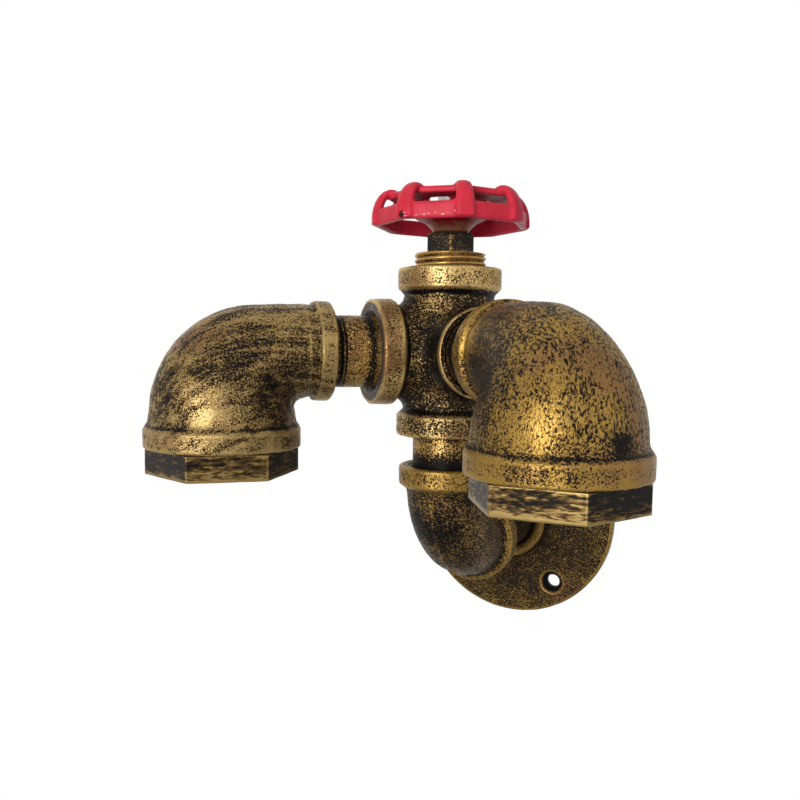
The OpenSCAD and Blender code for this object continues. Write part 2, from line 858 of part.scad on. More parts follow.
// Hexagon with its corners just broken, below a threaded spigot, bored for the lamp holder
module hex_bushing(turn) {
    color(antique) difference() {
        union() {
            translate([0, 0, hex_bottom]) intersection() {
                rotate([0, 0, turn]) cylinder(h = hex_h, r = hex_r, $fn = 6);
                cylinder(h = hex_h, r1 = hex_r - hex_break, r2 = hex_r - hex_break + hex_h);
                cylinder(h = hex_h, r1 = hex_r - hex_break + hex_h, r2 = hex_r - hex_break);
            }
            translate([0, 0, hex_top]) cylinder(h = spigot_len, r = spigot_r);
        }
        translate([0, 0, holder_seat]) cylinder(h = hex_h + spigot_len, r = seat_r);
        translate([0, 0, hex_bottom - cut]) cylinder(h = hex_h, r = seat_r - lip_in);
        translate([0, 0, ring_z]) cylinder(h = ring_t, r = seat_r + ring_groove);
    }
}

// Ceramic body: a wide foot under the retaining ring and a narrower neck above it
module lamp_holder() {
    color(ceramic) difference() {
        union() {
            translate([0, 0, holder_seat]) cylinder(h = ring_z - holder_seat, r = holder_r);
            translate([0, 0, holder_seat]) cylinder(h = holder_top - holder_seat, r = holder_neck_r);
        }
        translate([0, 0, holder_seat - cut])
            cylinder(h = contact_z - holder_seat + cut, r = shell_seat_r);
        for (side = [-1, 1])
            translate([0, side * terminal_off, holder_top - terminal_len])
                cylinder(h = terminal_len + cut, r = terminal_r + thread_gap);
    }
}

// Sheet-metal sleeve that takes the lamp cap's thread
module screw_shell() {
    color(brass) translate([0, 0, shell_z]) difference() {
        cylinder(h = shell_len, r = shell_r + shell_t);
        translate([0, 0, -cut]) cylinder(h = shell_len + 2 * cut, r = shell_r);
    }
}

// Spring strip: flat on the ceramic, with a tongue bent down to meet the lamp
module centre_contact() {
    half = contact_len / 2;
    t = contact_t;
    color(brass) translate([0, contact_w / 2, contact_z]) rotate([90, 0, 0])
        linear_extrude(contact_w) polygon([
            [-half, -t], [-half, 0], [-half / 3, 0],
            [half / 4, t - contact_drop], [half, t - contact_drop],
            [half, -contact_drop], [half / 4 - t, -contact_drop], [-half / 3 - t / 2, -t]
        ]);
}

module terminal_screws() {
    color(brass) for (side = [-1, 1])
        translate([0, side * terminal_off, holder_top]) {
            cylinder(h = terminal_head_h, r = terminal_head_r);
            translate([0, 0, -terminal_len]) cylinder(h = terminal_len, r = terminal_r);
        }
}

// Split ring that snaps into the bushing's groove over the holder's foot
module retaining_ring() {
    inner = holder_neck_r + slip_gap;
    color(steel) translate([0, 0, ring_z]) rotate([0, 0, ring_split / 2])
        rotate_extrude(angle = 360 - ring_split) translate([inner, 0])
            square([seat_r + ring_groove - slip_gap - inner, ring_t - slip_gap]);
}

module left_head() {
    at_head(left_dir, left_aim) children();
}

module right_head() {
    at_head(right_dir, right_aim) children();
}

module left_reducing_elbow() { left_head() reducing_elbow(); }
module left_hex_bushing() { left_head() hex_bushing(left_hex_turn - left_dir - 180); }
module left_lamp_holder() { left_head() lamp_holder(); }
module left_screw_shell() { left_head() screw_shell(); }
module left_centre_contact() { left_head() centre_contact(); }
module left_terminal_screws() { left_head() terminal_screws(); }
module left_retaining_ring() { left_head() retaining_ring(); }
module left_head_lead() { left_head() head_lead(); }

module right_reducing_elbow() { right_head() reducing_elbow(); }
module right_hex_bushing() { right_head() hex_bushing(right_hex_turn - right_dir - 180); }
module right_lamp_holder() { right_head() lamp_holder(); }
module right_screw_shell() { right_head() screw_shell(); }
module right_centre_contact() { right_head() centre_contact(); }
module right_terminal_screws() { right_head() terminal_screws(); }
module right_retaining_ring() { right_head() retaining_ring(); }
module right_head_lead() { right_head() head_lead(); }

wall_flange();
wall_nipple();
lower_elbow();
riser_nipple();
side_outlet_tee();
left_arm_nipple();
right_arm_nipple();
valve_bonnet();
gland_packing();
gland_nut();
switch_housing();
switch_base();
switch_rotor();
spindle();
handwheel();
wheel_washer();
wheel_nut();
left_inner_lead();
right_inner_lead();
left_reducing_elbow();
left_hex_bushing();
left_lamp_holder();
left_screw_shell();
left_centre_contact();
left_terminal_screws();
left_retaining_ring();
left_head_lead();
right_reducing_elbow();
right_hex_bushing();
right_lamp_holder();
right_screw_shell();
right_centre_contact();
right_terminal_screws();
right_retaining_ring();
right_head_lead();
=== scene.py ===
"""Looks of the pipe wall light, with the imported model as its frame.

Each casting is a surface worked out as whole arrays. An outline in two coordinates is carried
round an axis, along a bend or through a loft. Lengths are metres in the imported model's frame:
the wall is the plane y = 0, the light stands out along -Y, and Z is up.
"""

import math

import bmesh
import bpy
import numpy as np
from bpy.props import FloatProperty, FloatVectorProperty, PointerProperty
from bpy.types import Operator, Panel, PropertyGroup
from mathutils import Matrix


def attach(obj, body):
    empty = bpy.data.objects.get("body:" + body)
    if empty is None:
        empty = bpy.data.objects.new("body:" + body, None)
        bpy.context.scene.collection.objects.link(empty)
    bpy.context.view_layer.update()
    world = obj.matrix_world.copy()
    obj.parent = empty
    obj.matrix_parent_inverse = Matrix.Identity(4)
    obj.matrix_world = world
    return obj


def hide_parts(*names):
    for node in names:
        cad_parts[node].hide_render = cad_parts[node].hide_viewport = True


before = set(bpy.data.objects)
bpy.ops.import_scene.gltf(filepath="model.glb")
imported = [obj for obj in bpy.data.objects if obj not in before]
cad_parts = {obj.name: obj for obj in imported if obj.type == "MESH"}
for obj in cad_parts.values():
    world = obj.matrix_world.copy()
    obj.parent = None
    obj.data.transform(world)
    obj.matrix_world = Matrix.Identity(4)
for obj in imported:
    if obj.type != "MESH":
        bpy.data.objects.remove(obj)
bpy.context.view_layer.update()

bl_info = {
    "name": "Pipe Wall Light",
    "version": (1, 0, 0),
    "blender": (4, 5, 0),
    "location": "3D View > Sidebar > Pipe Light",
    "description": "Builds the castings, handwheel, lamp heads and finishes of a pipe wall light",
    "category": "Add Mesh",
}

MM = 0.001
TURN = 2 * math.pi
HANDS = (("left", -1), ("right", 1))

# Distance over which the wear of an edge fades along an outline
WEAR_FADE = 0.5 * MM
# Least radius of a corner that is drawn as an arc, and the largest turn of one step along it
LEAST_RADIUS = 0.02 * MM
ARC_STEP = 0.26
# Most of a straight that the arc of one corner may take
STRAIGHT_SHARE = 0.48
# How far the points of a polygon's ring crowd towards its corners
CROWDING = 0.14
# Number of sine waves in an uneven field, and the sizes of a casting's broad and small lumps
WAVE_COUNT = 24
BROAD_LUMPS, SMALL_LUMPS = 9 * MM, 3.2 * MM
# Clearance of a thread or a turning fit
FIT = 0.05 * MM

# Soft patches on the castings: the place and the size in mm, and the amount
# The lower elbow's patches are painted light: more gold on the front of the bend where the key lamp falls, a
# painted highlight, and less on its lower front, painted shade
ELBOW_LIGHT_AND_SHADE = (
    ((3, -99, 8), 7, -0.35), ((-8, -98, 10), 9, -0.2), ((3, -103, 24), 6, 0.25), ((14, -92, 14), 8, 0.15),
)
# Painted highlight: the tee's patches add gold on the fronts of its bands and body, where the key lamp's
# highlight falls
TEE_HIGHLIGHT_GOLD = (((4, -107, 95), 9, 0.40), ((-2, -114, 78), 6, 0.25), ((2, -108, 62), 6, 0.24))
# The patch at (-50, -172, 54) on the left head and the one at (63, -173, 62) on the right head lie where the
# key lamp's highlight falls, a painted highlight; the other patches make the gold uneven
HEAD_GOLD_AND_HIGHLIGHT = {
    "left": (
        ((-50, -172, 54), 12, 0.45), ((-66, -174, 62), 12, -0.2), ((-31, -142, 74), 8, -0.3),
        ((-36, -152, 62), 10, -0.25), ((-43, -162, 75), 12, -0.2),
    ),
    "right": (
        ((63, -173, 62), 13, 0.2), ((82, -163, 56), 3.4, -0.8), ((54, -157, 89), 12, -0.02),
        ((42, -161, 72), 11, -0.5), ((56, -164, 80), 11, 0.02), ((26, -139, 83), 7, 0.5),
        ((34, -146, 73), 8, -0.55), ((40, -146, 90), 9, -0.2), ((74, -157, 82), 9, 0.1),
        ((85, -158, 62), 8, 0.04),
    ),
}
HEAD_BAND_GOLD = {
    "left": (),
    "right": (((86, -160, 47), 10, 0.22), ((46, -172, 47), 9, 0.2), ((66, -174, 46), 12, -0.14)),
}
HEAD_COPPER = {
    "left": (((-60, -160, 80), 12, 0.25), ((-34, -146, 80), 10, 0.3)),
    "right": (
        ((42, -146, 90), 9, 0.8), ((75, -162, 76), 12, 0.55), ((86, -157, 64), 8, 0.45),
        ((84, -161, 46), 8, 0.3),
    ),
}
# Gold and bare iron on the six flats of each bushing, from the first corner round
FLAT_GOLD = {"left": (0.5, 0.4, 0.3, 0.08, 0.44, 0.15), "right": (0.5, 0.4, 0.3, 0.30, 0.50, 0.02)}
FLAT_BARE = {"left": (0, 0, 0, 0.12, 0, 0), "right": (0, 0, 0, 0.2, 0, 0)}

# Lamps of the stage: place in metres, diameter and power, and the point that all of them face
LAMPS = {
    "key_lamp": ((0.02, -1.05, 0.16), 0.5, 7.4),
    "fill_lamp": ((0.95, -0.55, 0.35), 0.9, 1.3),
    "top_lamp": ((-0.25, -0.15, 0.95), 1.1, 1.0),
    "back_lamp": ((-0.75, 0.45, 0.45), 0.8, 0.9),
}
LAMP_AIM = (0, -0.095, 0.075)
# Level of the white surroundings as a light
AMBIENT = 0.16
# Centre of the floor, and the radii of its rings
FLOOR_CENTRE = (0, -0.1, -0.42)
FLOOR_RINGS = (0.0, 0.2, 0.45)
# Camera: place in metres, then heading, height angle and roll in degrees
EYE = (0.12358, -0.377982, 0.081714)
EYE_ANGLES = (26.465, 4.059, 0.802)
# Its focal length and the picture's width in pixels, and the sensor's width in mm
EYE_FOCUS, PICTURE, SENSOR = 808.813, 800, 36.0


# Settings


def length(name, text, millimetres):
    return FloatProperty(name=name, description=text, default=millimetres * MM, unit="LENGTH", precision=5)


def angle(name, text, degrees):
    return FloatProperty(name=name, description=text, default=math.radians(degrees), subtype="ANGLE")


def share(name, text, default):
    return FloatProperty(name=name, description=text, default=default, min=0.0, max=1.0, subtype="FACTOR")


def colour(name, text, rgb):
    return FloatVectorProperty(
        name=name, description=text, default=rgb, size=3, min=0.0, max=1.0, subtype="COLOR"
    )


class PipeSizes(PropertyGroup):
    """Pipe, threads and the edges that all castings share"""

    pipe_r: length("Pipe radius", "Outside radius of the nipples", 13.35)
    passage_r: length("Passage radius", "Bore of the nipples", 10.45)
    bore_r: length("Socket radius", "Bore of the threaded sockets", 13.4)
    grip: length("Thread grip", "Length of a nipple inside a socket", 12)
    socket_depth: length("Socket depth", "Depth of a threaded socket", 13.5)
    pitch: length("Thread pitch", "Pitch of the pipe thread", 1.81)
    thread: length("Thread depth", "Depth of the pipe thread that shows", 0.6)
    mouth_flare: length("Mouth flare", "Widening of a socket at its mouth", 2.3)
    mouth_depth: length("Mouth depth", "Depth of the widened mouth", 1.6)
    edge: length("Edge rounding", "Rounding of the bands' edges", 1.0)
    slope: length("Band slope", "Length of the slope from a body up to its band", 2.4)
    lump: length("Cast lumps", "Unevenness of the sand-cast skin", 0.05)


class FlangeSizes(PropertyGroup):
    """Wall flange"""

    rim_r: length("Rim radius", "Radius of the disc", 48.25)
    thick: length("Thickness", "Thickness at the rim", 5)
    crown: length("Crown", "Rise of the face from the rim to the hub", 1.2)
    hub_r: length("Hub radius", "Radius of the hub", 19.05)
    hub_h: length("Hub height", "Height of the hub's face above the wall", 16)
    hub_fillet: length("Hub fillet", "Fillet at the foot of the hub", 3.5)
    screw_circle_r: length("Screw circle", "Radius of the circle of screw holes", 37.5)
    hole_r: length("Hole radius", "Radius of a screw hole", 3.1)
    sink_r: length("Countersink radius", "Radius of a countersink", 5.65)
    screw_turn: angle("Screw turn", "Turn of the first screw hole from the level", -57)


class FittingSizes(PropertyGroup):
    """Lower elbow and tee"""

    wall_reach: length("Wall reach", "Distance of the riser's axis from the wall", 88)
    elbow_len: length("Elbow length", "Centre to end of the lower elbow", 34.3)
    elbow_bend: length("Elbow bend", "Centreline radius of the lower elbow", 29.5)
    elbow_r: length("Elbow radius", "Radius of the lower elbow's body", 15.55)
    elbow_band_r: length("Elbow band radius", "Radius of the lower elbow's bands", 18.65)
    elbow_band_w: length("Elbow band width", "Width of the lower elbow's bands", 8.3)
    tee_z: length("Tee height", "Height of the tee's centre", 78.2)
    tee_len: length("Tee length", "Centre to end of the tee", 32)
    tee_r: length("Tee radius", "Radius of the tee's body", 17.2)
    tee_band_r: length("Tee band radius", "Radius of the tee's bands", 19.85)
    tee_band_w: length("Tee band width", "Width of the tee's bands", 9)
    outlet_r: length("Outlet neck", "Radius of the right outlet's neck", 15.0)
    collar_r: length("Outlet collar", "Radius of the thin collar on the right outlet", 16.3)
    crotch: length("Crotch blend", "Blend between the tee's branches", 7)
    arm_gap: length("Arm gap", "Length of arm nipple that shows", 16)
    half_spread: angle("Half spread", "Angle of each arm from straight ahead", 45)


class HeadSizes(PropertyGroup):
    """Lamp heads, each about the crossing of its arm's and its lamp's axes"""

    small_len: length("Small length", "Centre to small end", 38)
    large_len: length("Large length", "Centre to large end", 34.1)
    small_r: length("Small radius", "Radius of the small end's body", 17.2)
    small_band_r: length("Small band radius", "Radius of the small end's band", 18.25)
    small_band_w: length("Small band width", "Width of the small end's band", 6.1)
    large_r: length("Large radius", "Radius of the large end's body", 24.8)
    large_flare: length("Large flare", "Spread of the large end's body towards its band", 1.2)
    large_band_r: length("Large band radius", "Radius of the large end's band", 27.55)
    large_band_w: length("Large band width", "Width of the large end's band", 7.7)
    large_bore_r: length("Large socket radius", "Bore of the large socket", 21.0)
    corner_r: length("Inside corner", "Radius of the inside corner", 4)
    outer_bend: length("Outside bend", "Radius of the outside bend", 37)
    dome_drop: length("Dome drop", "Drop of the outside bend's top below the small end's top", 0.8)
    hex_flat: length("Hexagon half width", "Axis to a flat of the bushing's hexagon", 23.35)
    hex_h: length("Hexagon height", "Height of the bushing's hexagon", 9.1)
    hex_gap: length("Hexagon gap", "Gap between the hexagon and the elbow", 0.4)
    spigot_r: length("Spigot radius", "Radius of the bushing's thread", 20.95)
    spigot_len: length("Spigot length", "Length of the bushing's thread", 13.5)
    seat_r: length("Seat radius", "Bore of the bushing", 17.2)
    lip_r: length("Lip radius", "Opening of the lip under the holder", 15.5)
    lip_h: length("Lip height", "Height of that lip", 2.4)
    left_corner: angle("Left corner", "Plan angle of a corner of the left hexagon", 42)
    right_corner: angle("Right corner", "Plan angle of a corner of the right hexagon", 3)
    holder_r: length("Holder radius", "Radius of the ceramic holder's foot", 17.1)
    holder_foot: length("Holder foot", "Height of the holder's foot", 17.4)
    holder_neck_r: length("Holder neck", "Radius of the holder's neck", 15.5)
    holder_h: length("Holder height", "Height of the ceramic holder", 26)
    shell_r: length("Shell radius", "Bore of the screw shell", 13.3)
    shell_t: length("Shell sheet", "Sheet thickness of the screw shell", 0.5)
    shell_len: length("Shell length", "Length of the screw shell", 19)
    shell_set: length("Shell set-back", "Set-back of the screw shell in the holder", 0.6)
    shell_pitch: length("Shell pitch", "Pitch of the lamp thread", 3.62)
    shell_wave: length("Shell wave", "Half depth of the lamp thread", 0.45)


class ValveSizes(PropertyGroup):
    """Bonnet, gland nut and handwheel, with heights above the tee's centre"""

    bonnet_r: length("Bonnet radius", "Radius of the bonnet's thread", 13.7)
    bonnet_top: length("Bonnet top", "Height of the bonnet's shoulder", 37.6)
    bonnet_foot: length("Bonnet foot", "Height of the bonnet's lower end", 22)
    bonnet_pitch: length("Bonnet pitch", "Pitch of the bonnet's thread", 2.1)
    boss_r: length("Boss radius", "Radius of the stuffing boss", 6.5)
    boss_top: length("Boss top", "Height of the boss's end", 41.8)
    gland_flat: length("Gland half width", "Axis to a flat of the gland nut", 8.75)
    gland_top: length("Gland top", "Height of the gland nut's top", 45.2)
    gland_corner: angle("Gland corner", "Plan angle of a corner of the gland nut", 53)
    spindle_r: length("Spindle radius", "Radius of the spindle", 4)
    square: length("Square half width", "Half the side of the spindle's square", 2.7)
    end_r: length("End thread radius", "Radius of the thread on the spindle's end", 2.5)
    rotor_z: length("Spindle foot", "Height of the spindle's lower end", 14.7)
    spindle_top: length("Spindle top", "Height of the spindle's upper end", 61.5)
    wheel_r: length("Wheel radius", "Axis to the ribs' outer faces", 30.5)
    wheel_h: length("Wheel height", "Skirt's foot to the rib tops", 14)
    skirt_z: length("Skirt foot", "Height of the skirt's foot", 47.4)
    skirt_h: length("Skirt height", "Height of the skirt", 6.2)
    skirt_t: length("Skirt thickness", "Thickness of the skirt", 2.6)
    hub_drop: length("Hub drop", "Drop of the hub below the skirt", 1.8)
    hub_h: length("Hub height", "Height of the hub", 9.5)
    hub_r: length("Hub radius", "Radius of the hub", 7.5)
    rib_w: length("Rib width", "Width of a rib at its middle", 6.4)
    rib_leg: length("Rib leg", "Thickness of a rib above the skirt", 4)
    rib_run: length("Rib run", "Distance of the rib tops from the edge", 7.5)
    rib_back: length("Rib back", "Length of a rib behind its top", 3.2)
    plate_in: length("Plate inset", "Distance of the plate's edge from the edge", 6.1)
    plate_rim: length("Plate rim", "Width of the plate around the dish", 7.2)
    plate_z: length("Plate height", "Height of the plate's top above the skirt's foot", 12.5)
    plate_t: length("Plate thickness", "Thickness of the plate", 2.6)
    wheel_turn: angle("Wheel turn", "Plan angle of the first rib", 33)
    washer_r: length("Washer radius", "Radius of the washer on the hub", 6)
    washer_t: length("Washer thickness", "Thickness of that washer", 1)
    nut_flat: length("Nut half width", "Axis to a flat of the wheel nut", 4.5)
    nut_h: length("Nut height", "Height of the wheel nut", 4.4)


class Finishes(PropertyGroup):
    """Colours and coverage of the finishes"""

    gold: colour("Gold", "Brushed gold where it lies thick", (0.295, 0.178, 0.039))
    pale_gold: colour("Pale gold", "Greyish gold on the left head and the tee", (0.328, 0.224, 0.087))
    old_gold: colour("Old gold", "Browned gold where it lies thin", (0.145, 0.082, 0.025))
    # Painted light: bright gold is a lighter copy of the gold, lifting the bonnet where the wheel shades it
    # and the highlights on the pipes
    bright_gold: colour("Bright gold", "Gold on the pipes and the bonnet", (0.50, 0.305, 0.085))
    dull_gold: colour("Dull gold", "Scratched gold on the hexagons", (0.235, 0.160, 0.056))
    copper: colour("Copper", "Coppery stain in the gold", (0.20, 0.102, 0.042))
    black: colour("Black", "Black paint under the gold", (0.0030, 0.0028, 0.0026))
    haze: colour("Haze", "Thin film of gold on the black", (0.017, 0.012, 0.0065))
    bare: colour("Bare iron", "Bare machined iron", (0.150, 0.138, 0.132))
    red: colour("Red", "Enamel of the handwheel", (0.72, 0.037, 0.067))
    chip: colour("Chip", "Priming that shows where the enamel is chipped", (0.80, 0.76, 0.73))
    overspray: colour("Overspray", "Copper dust on the wheel's hub", (0.30, 0.150, 0.075))
    ceramic: colour("Ceramic", "Glazed lamp holders", (0.86, 0.84, 0.78))
    brass: colour("Brass", "Screw shells and contacts", (0.74, 0.50, 0.18))
    zinc: colour("Zinc", "Plated steel of the spindle and its nut", (0.55, 0.56, 0.57))
    bakelite: colour("Bakelite", "Moulded switch", (0.02, 0.014, 0.011))
    packing: colour("Packing", "Braided packing under the gland nut", (0.30, 0.27, 0.22))
    sheath: colour("Sheath", "Silicone sheath of the leads", (0.72, 0.68, 0.58))
    cast_cover: share("Cover on castings", "Share of gold on the cast bodies", 0.60)
    band_cover: share("Cover on bands", "Share of gold on the bands", 0.72)
    tee_cover: share("Cover on the tee", "Share of gold on the tee's body", 0.27)
    pipe_cover: share("Cover on pipes", "Share of gold on the nipples", 0.70)


class PipeLight(PropertyGroup):
    """All settings of the pipe wall light"""

    pipe: PointerProperty(type=PipeSizes)
    flange: PointerProperty(type=FlangeSizes)
    fitting: PointerProperty(type=FittingSizes)
    head: PointerProperty(type=HeadSizes)
    valve: PointerProperty(type=ValveSizes)
    finish: PointerProperty(type=Finishes)


# Outlines


def bell(gap, width):
    """Bell curve: the exponential of minus the square of a gap over a width."""
    return np.exp(-((gap / width) ** 2))


def outline(corners, step=0.9 * MM):
    """Closed outline through corners (a, b, radius). Each corner becomes an arc of its radius that
    touches both sides, and the straights are cut into steps. Returns the points, and a wear value
    for each that is 1 on an outside edge, -1 in a hollow and fades over half a millimetre."""
    corners = np.array(corners, float)
    here = corners[:, :2]
    ahead, back = np.roll(here, -1, 0) - here, np.roll(here, 1, 0) - here
    far, near = np.linalg.norm(ahead, axis=1), np.linalg.norm(back, axis=1)
    ahead, back = ahead / far[:, None], back / near[:, None]
    half = np.arccos(np.clip((ahead * back).sum(1), -1, 1)) / 2
    reach = np.minimum(corners[:, 2] / np.tan(half), STRAIGHT_SHARE * np.minimum(far, near))
    radius = reach * np.tan(half)
    swing = np.cross(back, ahead)
    side = -np.sign(np.cross(here, np.roll(here, -1, 0)).sum()) * np.sign(swing)
    points, wear = [], []
    for i in range(len(corners)):
        start, end = here[i] + back[i] * reach[i], here[i] + ahead[i] * reach[i]
        if radius[i] > LEAST_RADIUS:
            inward = (back[i] + ahead[i]) / np.linalg.norm(back[i] + ahead[i])
            centre = here[i] + inward * radius[i] / np.sin(half[i])
            first = math.atan2(*(start - centre)[::-1])
            sweep = (math.atan2(*(end - centre)[::-1]) - first + math.pi) % TURN - math.pi
            turn = first + sweep * np.linspace(0, 1, max(3, math.ceil(abs(sweep) / ARC_STEP)) + 1)
            arc = centre + radius[i] * np.stack([np.cos(turn), np.sin(turn)], 1)
        else:
            arc = here[i : i + 1]
        after = (i + 1) % len(corners)
        following = here[after] + back[after] * reach[after]
        cuts = max(1, math.ceil(np.linalg.norm(following - end) / step))
        straight = end + (following - end) * np.linspace(0, 1, cuts + 1)[1:-1, None]
        points += [arc, straight]
        wear += [np.full(len(arc), side[i]), np.zeros(len(straight))]
    points, wear = np.concatenate(points), np.concatenate(wear)
    along = np.concatenate([[0], np.cumsum(np.linalg.norm(np.diff(points, axis=0), axis=1))])
    near = bell(along[:, None] - along[None], WEAR_FADE)
    return points, (near * wear).sum(1) / near.sum(1)


def angles(count, corner=None, sides=6):
    """Angles round a ring. With a corner angle they crowd towards the corners of a polygon."""
    step = np.arange(count) / count
    if corner is None:
        return step * TURN
    part = (step * sides) % 1
    return corner + (np.floor(step * sides) + part - CROWDING * np.sin(TURN * part)) * TURN / sides


def polygon_radius(v, corner, flat, sides, sharp):
    """Radius of a regular polygon with soft corners: the flat's distance over the p-norm of the
    cosines to the flats' directions, where a higher p gives sharper corners."""
    facing = corner + (np.arange(sides) + 0.5) * TURN / sides
    toward = np.clip(np.cos(v[:, None] - facing), 0, None)
    return flat / (toward**sharp).sum(1) ** (1 / sharp)


def thread(h, v, pitch, depth, start, stop):
    """Cut of a right-hand thread: a rounded groove that climbs one pitch a turn, faded in and out
    over one pitch at the two ends of its stretch."""
    groove = 0.5 - 0.5 * np.cos(TURN * (h[:, None] / pitch - v[None] / TURN))
    fade = np.clip((h - start) / pitch, 0, 1) * np.clip((stop - h) / pitch, 0, 1)
    return depth * groove**1.5 * np.clip(2 * fade, 0, 1)[:, None]


def waves(points, size, seed):
    """Smooth uneven field: the sum of sine waves of about one size in fixed random directions."""
    rng = np.random.default_rng(seed)
    heading = rng.normal(size=(WAVE_COUNT, 3))
    number = TURN / size * rng.uniform(0.6, 1.6, (WAVE_COUNT, 1))
    heading *= number / np.linalg.norm(heading, axis=1, keepdims=True)
    phase = rng.uniform(0, TURN, WAVE_COUNT)
    return np.sin(points @ heading.T + phase).sum(-1) / math.sqrt(WAVE_COUNT / 2)


# Surfaces


def axes(origin, along, side):
    """Place of a turned piece: its origin, its axis, and the directions of angle 0 and a quarter turn."""
    along, side = np.array(along, float), np.array(side, float)
    return np.array(origin, float), along, side, np.cross(along, side)


def turned(points, place, v, radius=None):
    """Surface of revolution. The outline point (r, h) goes to the origin plus h along the axis plus
    r round it at angle v. A radius table of one row a point and one column an angle replaces r."""
    origin, along, side, third = place
    r = np.repeat(points[:, :1], len(v), 1) if radius is None else radius
    round_axis = np.cos(v)[:, None] * side + np.sin(v)[:, None] * third
    return origin + points[:, 1, None, None] * along + r[..., None] * round_axis


def straightened(points, v, rings):
    """The surface unrolled onto a straight axis, for strokes that follow the piece."""
    flat = np.empty_like(rings)
    flat[..., 0] = points[:, 1, None]
    flat[..., 1] = points[:, 0, None] * np.cos(v)
    flat[..., 2] = points[:, 0, None] * np.sin(v)
    return flat


def sheet(rings, gold=0.0, brush=None, bare=0.0, copper=0.0, loop=True):
    """One grid of a piece with its point values. Its columns close, and so do its rows in a loop."""
    shape = rings.shape[:2]
    return {
        "rings": rings,
        "gold": np.broadcast_to(gold, shape),
        "bare": np.broadcast_to(bare, shape),
        "copper": np.broadcast_to(copper, shape),
        "brush": rings if brush is None else brush,
        "loop": loop,
    }


def quads(rows, columns, loop):
    """Corner numbers of a grid's faces, closed along its columns, and along its rows if asked."""
    grid = np.arange(rows * columns).reshape(rows, columns)
    low, high = (grid, np.roll(grid, -1, 0)) if loop else (grid[:-1], grid[1:])
    return np.stack([low, np.roll(low, -1, 1), np.roll(high, -1, 1), high], -1).reshape(-1, 4)


def mesh_of(name, sheets, lump=0.0, seed=1):
    """Joins sheets into one closed mesh. Faces are turned outwards by the sign of the volume they
    hold, points that coincide are merged, and the skin is moved along its normals by waves."""
    verts, faces, start = [], [], 0
    for part in sheets:
        rows, columns = part["rings"].shape[:2]
        points = part["rings"].reshape(-1, 3)
        corners = quads(rows, columns, part["loop"])
        a, b, c, d = (points[corners[:, k]] for k in range(4))
        if part["loop"] and (a * (np.cross(b, c) + np.cross(c, d))).sum() < 0:
            corners = corners[:, ::-1]
        verts.append(points)
        faces.append(corners + start)
        start += len(points)
    mesh = bpy.data.meshes.new(name)
    mesh.from_pydata(np.concatenate(verts), [], np.concatenate(faces))
    for key in ("gold", "bare", "copper", "brush"):
        kind, field = ("FLOAT_VECTOR", "vector") if key == "brush" else ("FLOAT", "value")
        values = np.concatenate([part[key].ravel() for part in sheets]).astype(np.float32)
        mesh.attributes.new(key, kind, "POINT").data.foreach_set(field, values)
    work = bmesh.new()
    work.from_mesh(mesh)
    bmesh.ops.remove_doubles(work, verts=work.verts, dist=1e-6)
    if not all(part["loop"] for part in sheets):
        bmesh.ops.recalc_face_normals(work, faces=work.faces)
    work.to_mesh(mesh)
    work.free()
    mesh.polygons.foreach_set("use_smooth", np.ones(len(mesh.polygons), bool))
    if lump:
        points = np.empty(3 * len(mesh.vertices), np.float32)
        normals = np.empty_like(points)
        mesh.vertices.foreach_get("co", points)
        mesh.vertex_normals.foreach_get("vector", normals)
        points, normals = points.reshape(-1, 3), normals.reshape(-1, 3)
        field = waves(points, BROAD_LUMPS, seed) + 0.5 * waves(points, SMALL_LUMPS, seed + 1)
        points += normals * (lump * field)[:, None]
        mesh.vertices.foreach_set("co", points.ravel())
        mesh.update()
    return mesh


def place_piece(name, mesh, finish, body, node):
    """Puts a mesh into the scene as a piece that rides on a body and stands for its CAD node."""
    mesh.materials.append(finish_named(finish))
    piece = bpy.data.objects.new(name, mesh)
    bpy.context.scene.collection.objects.link(piece)
    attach(piece, body)
    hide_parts(node)


def add_piece(node, made, sheets, finish, body, lump=0.0, seed=1):
    """Makes the piece that stands for a node from its sheets, named for the way it is made."""
    name = f"{node}_{made}"
    place_piece(name, mesh_of(name, sheets, lump, seed), finish, body, node)


def brushed(tone, wear, edge=0.3, hollow=0.3):
    """Gold left by a brush: the tone, more of it on outside edges and less in hollows."""
    return tone + edge * np.clip(wear, 0, 1) - hollow * np.clip(-wear, 0, 1)


def patches(points, places):
    """Sum of soft patches: each is its amount times a bell curve of the distance to its place in mm."""
    total = 0.0
    for place, size, amount in places:
        gap = np.linalg.norm(points - np.array(place) * MM, axis=-1)
        total = total + amount * bell(gap, size * MM)
    return total


def nipple(pipe, place, start, stop, threads, tone, stains_and_shade):
    """Pipe between two heights on an axis, with a thread cut over each of the given stretches. A ring of
    stain and shade has a height, a width and an amount of gold. The rings darken the pipe where it goes
    into a fitting, partly a real stain and partly painted shade."""
    p, edge = pipe, 0.5 * MM
    points, wear = outline(
        [(p.passage_r, start, 0), (p.pipe_r, start, edge), (p.pipe_r, stop, edge), (p.passage_r, stop, 0)],
        0.3 * MM,
    )
    v = angles(96)
    outside = points[:, :1] > p.pipe_r - 0.1 * MM
    cut = sum(thread(points[:, 1], v, p.pitch, p.thread, *stretch) for stretch in threads)
    rings = turned(points, place, v, points[:, :1] - np.where(outside, cut, 0))
    tone = tone + sum(amount * bell(points[:, 1] - height, width) for height, width, amount in stains_and_shade)
    gold = brushed(tone, wear)[:, None] - 0.9 * cut / p.thread
    return sheet(rings, gold, straightened(points, v, rings))


